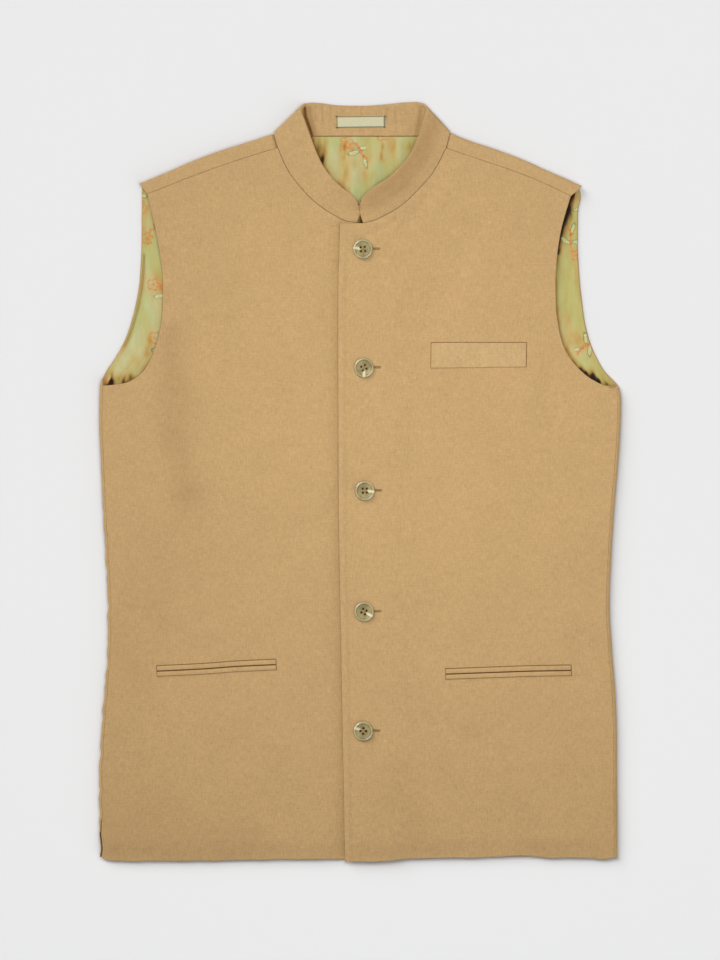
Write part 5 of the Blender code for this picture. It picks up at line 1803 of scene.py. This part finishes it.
def add_buttonhole(index, button):
    """Stitched end of the buttonhole that shows beside its button."""
    start, end = button.x + HOLE_START, button.x + HOLE_END
    y = button.y + HOLE_RISE
    stitches = []
    for x in np.arange(start, end, HOLE_STEP):
        for offset, kind in HOLE_EDGES:
            stitches.append(stitch(kind, x, y + offset, float(over_top(x, y + offset))))
    level = float(over_top(end, y))
    for step in range(4):
        place = y + (step - 1.5) * HOLE_BAR_STEP
        stitches.append(stitch(HOLE_BAR, end + 0.2, place, level))
    add_stitches(f"buttonhole_{index}_stitches", stitches, CROSS_THREAD)
    # Dark stitches in the darker moleskin, as painted shade in the slit
    slit = [stitch(HOLE_SLIT, float(x), y, float(over_top(x, y)))
            for x in np.arange(start, end - HOLE_SLIT_STEP / 2, HOLE_SLIT_STEP)]
    add_stitches(f"buttonhole_{index}_slit", slit, SHADED_MOLESKIN)


def add_garment():
    """Back, lining, fronts and collar, with the patches that each is made of."""
    lined = (CLOTH, LINING)
    back_nodes = ("back_panel", "back_right_shoulder", "back_left_shoulder")
    made = {}
    for name, patches, materials, slot, nodes in (
        ("back_cloth", back_patches(), (CLOTH, SHADED_MOLESKIN), "cloth", back_nodes),
        ("back_lining_satin", lining_patches(), (LINING,), "lining", ("back_lining",)),
        ("front_right_cloth", front_patches("left"), lined, "cloth", ("front_right",)),
        ("front_left_cloth", front_patches("right"), lined, "cloth", ("front_left",)),
        ("collar_cloth", collar_patches(), (CLOTH,), "cloth", ("collar",)),
    ):
        made[name] = (shell_object(name, patches, materials, *nodes, slot=slot), patches)
    return made


def backed(corners, side, down, up):
    """Corners of a patch moved outwards by margins at its sides, bottom and top."""
    moves = ((-side, -down), (side, -down), (side, up), (-side, up))
    return tuple(Corner(at.x + x, at.y + y) for at, (x, y) in zip(corners, moves))


# How far the dark strip of painted shadow shows past the welt at its sides, below and above
WELT_MARGINS = (0.6, 0.15, 0.8)
# Ends of the welt: numbers of their corners, and how far in the stitches are
WELT_ENDS = ((0, 3, 1.5), (1, 2, -1.6))


def add_welt():
    """Breast welt, the dark strip of painted shadow round it and the stitches that hold its ends.
    """
    around = backed(WELT_CORNERS, *WELT_MARGINS)
    seam = shell_object(
        "breast_welt_shadow_strip", [pressed_patch(around, WELT_SHADOW_STRIP, over_top)], (SHADED_MOLESKIN,))
    welt = shell_object(
        "breast_welt_cloth", [pressed_patch(WELT_CORNERS, WELT, over_top)], (WELT_CLOTH,),
        "breast_welt")
    stitches = []
    for low, high, inset in WELT_ENDS:
        start, end = WELT_CORNERS[low], WELT_CORNERS[high]
        for share in np.linspace(0.06, 0.94, 15):
            x = start.x + share * (end.x - start.x) + inset
            y = start.y + share * (end.y - start.y)
            stitches.append(stitch(WELT_STITCH, x, y, float(over_top(x, y))))
    return [seam, welt, add_stitches("breast_welt_stitches", stitches, THREAD)]


# Strips along a pocket mouth: how much wider they are below and above, their wall, their
# height over the cloth, and how much longer they are at each end
Strip = namedtuple("Strip", "below above wall lift margin")
POCKET_SHADOW_STRIP = Strip(0.2, 0.85, 0.6, 0.36, 0.6)
POCKET_OPENING = Strip(0.5, 0.5, 0.4, 0.52, 0.0)


def strip_patch(mouth, half, base, strip):
    """Flat strip that follows a pocket mouth, wider than a half width on each side of it."""
    low, high = -half - strip.below, half + strip.above
    centre = path_curve(mouth)
    length = line_length(mouth, "x", "y")
    reach = strip.margin / length
    along = np.linspace(-reach, 1.0 + reach, 64)
    up = np.linspace(0.0, 1.0, 8)
    kept = np.clip(along, 0.001, 0.999)
    ahead = unit_rows(centre(np.minimum(kept + 0.01, 1.0)) - centre(np.maximum(kept - 0.01, 0.0)))
    place = centre(kept) + ((along - kept) * length)[:, None] * ahead
    points = on_surface(beside(place, ahead, low + (high - low) * up), base, strip.lift)
    inner = np.ones(points.shape[:2])
    inner[0] = inner[-1] = 0.0
    inner[:, 0] = inner[:, -1] = 0.0
    return make_patch(points, strip.wall, inner)


def add_pocket(side, base):
    """Two jets of a side pocket, the painted shade in the mouth between them and the dark strip of
    painted shadow round them.
    """
    mouth = MOUTHS[side]
    half = MOUTH_GAP / 2
    reach = half + JET_DEPTH
    # Dark strips as painted shade: the wider one round the jets, the narrow one in the mouth
    seam = strip_patch(mouth, reach, base, POCKET_SHADOW_STRIP)
    opening = strip_patch(mouth, half, base, POCKET_OPENING)
    pieces = [
        shell_object(f"{side}_pocket_shadow_strip", [seam], (SHADED_MOLESKIN,)),
        shell_object(f"{side}_pocket_mouth", [opening], (POCKET_SHADE_CLOTH,)),
    ]
    for lip, low, high in (("upper", half, reach), ("lower", -reach, -half)):
        node = f"{side}_pocket_{lip}_jet"
        jet = jet_patch(mouth, low, high, base)
        pieces.append(shell_object(f"{node}_cloth", [jet], (CLOTH,), node))
    return pieces


# Green border of the label: its tone, and how far in it fades
BORDER_TONE = 0.8
BORDER_FADE = (0.55, 1.05)


def add_label():
    """Blank label with a thin green edge, sewn on at its corners."""
    patch = pressed_patch(
        LABEL_CORNERS, LABEL_TAPE, lambda x, y: np.full(np.shape(x), COLLAR_WALL))
    width = np.linalg.norm(patch.outer[0, -1] - patch.outer[0, 0])
    length = np.linalg.norm(patch.outer[-1, 0] - patch.outer[0, 0])
    across = row_lengths(patch.outer, 1)
    along = row_lengths(patch.outer, 0)
    gone = np.minimum(np.minimum(across, width - across), np.minimum(along, length - along))
    patch = patch._replace(tone=BORDER_TONE - BORDER_TONE * ease(*BORDER_FADE, gone))
    label = shell_object("label_tape", [patch], (LABEL,), "label", slot="label")
    level = COLLAR_WALL + LABEL_TAPE.lift
    stitches = [stitch(LABEL_STITCH, corner.x + step, corner.y, level)
                for corner in LABEL_CORNERS for step in (-0.7, 0.0, 0.7)]
    sewn = add_stitches("label_stitches", stitches, DARK_THREAD)
    declare_sheet(label, [patch], "collar", (sewn,))


def declare_sheet(piece, patches, rests_on, on_it=()):
    """Work out a cloth piece's cut, the length and width of its patches laid out flat, and their
    area; the results are kept nowhere.
    """
    widths = [float(row_lengths(patch.outer, 1)[:, -1].max()) for patch in patches]
    lengths = [float(row_lengths(patch.outer, 0)[-1].max()) for patch in patches]
    area = 0.0
    for patch in patches:
        down = patch.outer[1:, :-1] - patch.outer[:-1, :-1]
        across = patch.outer[:-1, 1:] - patch.outer[:-1, :-1]
        area += float(np.linalg.norm(np.cross(down, across), axis=-1).sum())
    flat = (sum(widths) * MM, max(lengths) * MM)
    area = min(area * MM * MM, flat[0] * flat[1])


# Prick stitches of the armhole: lowest and highest place and step, height over the lining,
# radius, and for both rows the distance in and the half length
PRICK_Y = (140.0, 236.0, 1.3)
PRICK_LIFT = 0.9
PRICK_RADIUS = 0.26
PRICK_ROWS = ((1.6, (0.45, 0.40, 0.15)), (3.0, (0.45, -0.40, 0.15)))
TACK_Y = -349.4
TACK_X = (-265.4, -264.2, -263.2)


def add_edge_stitches():
    """Prick stitches at the back's left armhole, and the tack at the top of the slit."""
    stitches = []
    depth = BACK_WALL + CLEARANCE + LINING_WALL + PRICK_LIFT
    for y in np.arange(*PRICK_Y):
        level = np.array([y])
        inset = lining_inset("left", level)
        for offset, reach in PRICK_ROWS:
            place = strip_points("left", level, inset + offset, depth)[0]
            stitches.append((tuple(place), reach, PRICK_RADIUS))
    add_stitches("left_armhole_stitches", stitches, CROSS_THREAD)
    bar = [stitch(TACK_STITCH, x, TACK_Y, float(under_top(x, TACK_Y))) for x in TACK_X]
    add_stitches("vent_bar_tack", bar, SHADED_MOLESKIN)


def add_details():
    """Welt, pockets, label, buttons and stitches. Gives what is sewn on each front."""
    on_left = add_welt() + add_pocket("left", over_top)
    on_right = add_pocket("right", under_top)
    add_label()
    add_edge_stitches()
    for index, button in enumerate(BUTTONS, start=1):
        add_button(index, button)
        add_buttonhole(index, button)
    return on_left, on_right


# Lamp above the garment, and the light on the floor from it and from all else: the
# floor is made paler where it is dimmer, so that it reads as even
LAMP = (0.05, 0.12, 0.85)
LAMP_SIZE = 0.5
LAMP_POWER = 4.4
LAMP_SHARE = 0.51
EVEN_SHARE = 0.70
FLOOR_LEVEL = 0.822
FLOOR_REACH = 40.0
FLOOR_Z = -0.0003


def add_stage():
    """Plain pale floor."""
    mesh = bpy.data.meshes.new("floor")
    corners = [(x * FLOOR_REACH, y * FLOOR_REACH, FLOOR_Z)
               for x, y in ((-1, -1), (1, -1), (1, 1), (-1, 1))]
    mesh.from_pydata(corners, [], [(0, 1, 2, 3)])
    material, tree, shader, place = new_material("pale_floor")
    centred = add_node(tree, "ShaderNodeVectorMath", {"operation": "SUBTRACT"}, {
        0: place, 1: (LAMP[0], LAMP[1], 0.0)}).outputs[0]
    away = add_node(tree, "ShaderNodeVectorMath", {"operation": "LENGTH"}, {0: centred})
    ratio = maths("DIVIDE", Value(away.outputs["Value"]), LAMP[2])
    spread = ratio * ratio + 1.0
    lamp = maths("DIVIDE", LAMP_SHARE, spread * spread)
    feed(shader.inputs["Base Color"], maths("DIVIDE", FLOOR_LEVEL, lamp + EVEN_SHARE))
    feed(shader.inputs["Roughness"], 0.95)
    feed(shader.inputs["Specular IOR Level"], 0.0)
    mesh.materials.append(material)
    new_object("floor", mesh)


def add_lamp():
    """Soft square lamp above the garment, aimed straight down."""
    data = bpy.data.lights.new("lamp", "AREA")
    data.shape = "SQUARE"
    data.size = LAMP_SIZE
    data.energy = LAMP_POWER
    light = new_object("lamp", data)
    light.visible_glossy = False
    light.location = LAMP
    down = Vector((LAMP[0], LAMP[1], 0.0)) - Vector(LAMP)
    light.rotation_euler = down.to_track_quat("-Z", "Y").to_euler()


# Direction, softness and strength of the light from the upper left, which casts the short
# shadows to the right and below, and of the weaker one against it, which fills them
KEY_SUN = ((0.60, -0.62, -0.54), 42.0, 2.1)
FILL_SUN = ((-0.62, 0.62, -0.42), 60.0, 1.05)


def add_sun(direction, softness, strength):
    """Distant soft light in a direction; the softness is its angle in degrees."""
    data = bpy.data.lights.new("key", "SUN")
    data.angle = math.radians(softness)
    data.energy = strength
    light = new_object("key", data)
    light.rotation_euler = Vector(direction).to_track_quat("-Z", "Y").to_euler()


SENSOR_WIDTH = 36.0
CLIP_END = 50.0
CAMERA_HEIGHT = 2.5
FRAME_HEIGHT = 0.9888
FRAME_CENTRE = (0.00026, 0.00185)


def add_camera():
    """Camera straight above, framed as the photograph is."""
    data = bpy.data.cameras.new("camera")
    data.sensor_width = SENSOR_WIDTH
    data.lens = SENSOR_WIDTH * CAMERA_HEIGHT / FRAME_HEIGHT
    data.clip_end = CLIP_END
    camera = new_object("camera", data)
    camera.location = (FRAME_CENTRE[0], FRAME_CENTRE[1], CAMERA_HEIGHT + FLAT_TOP * MM)
    bpy.context.scene.camera = camera


# Strength of the surroundings as light, and as the camera sees them in a low view
WORLD_LIGHT = 0.16
WORLD_SEEN = 0.82


def add_world():
    """Even pale surroundings, and plain colours on the display."""
    scene = bpy.context.scene
    scene.view_settings.view_transform = "Standard"
    scene.view_settings.look = "None"
    world = bpy.data.worlds.new("world")
    world.use_nodes = True
    tree = world.node_tree
    inputs = tree.nodes["Background"].inputs
    feed(inputs["Color"], (1.0, 1.0, 1.0, 1.0))
    seen = add_node(tree, "ShaderNodeLightPath").outputs["Is Camera Ray"]
    feed(inputs["Strength"], add_node(tree, "ShaderNodeMapRange", (), {
        "Value": seen, "To Min": WORLD_LIGHT, "To Max": WORLD_SEEN}).outputs[0])
    scene.world = world


add_world()
add_stage()
add_sun(*KEY_SUN)
add_sun(*FILL_SUN)
add_lamp()
add_camera()
made = add_garment()
on_left, on_right = add_details()
declare_sheet(*made["back_cloth"], "back_lining_satin")
declare_sheet(*made["back_lining_satin"], "back_cloth")
declare_sheet(*made["front_right_cloth"], "back_lining_satin", on_right)
declare_sheet(*made["front_left_cloth"], "front_right_cloth", on_left)
declare_sheet(*made["collar_cloth"], "front_right_cloth")

bpy.context.view_layer.update()
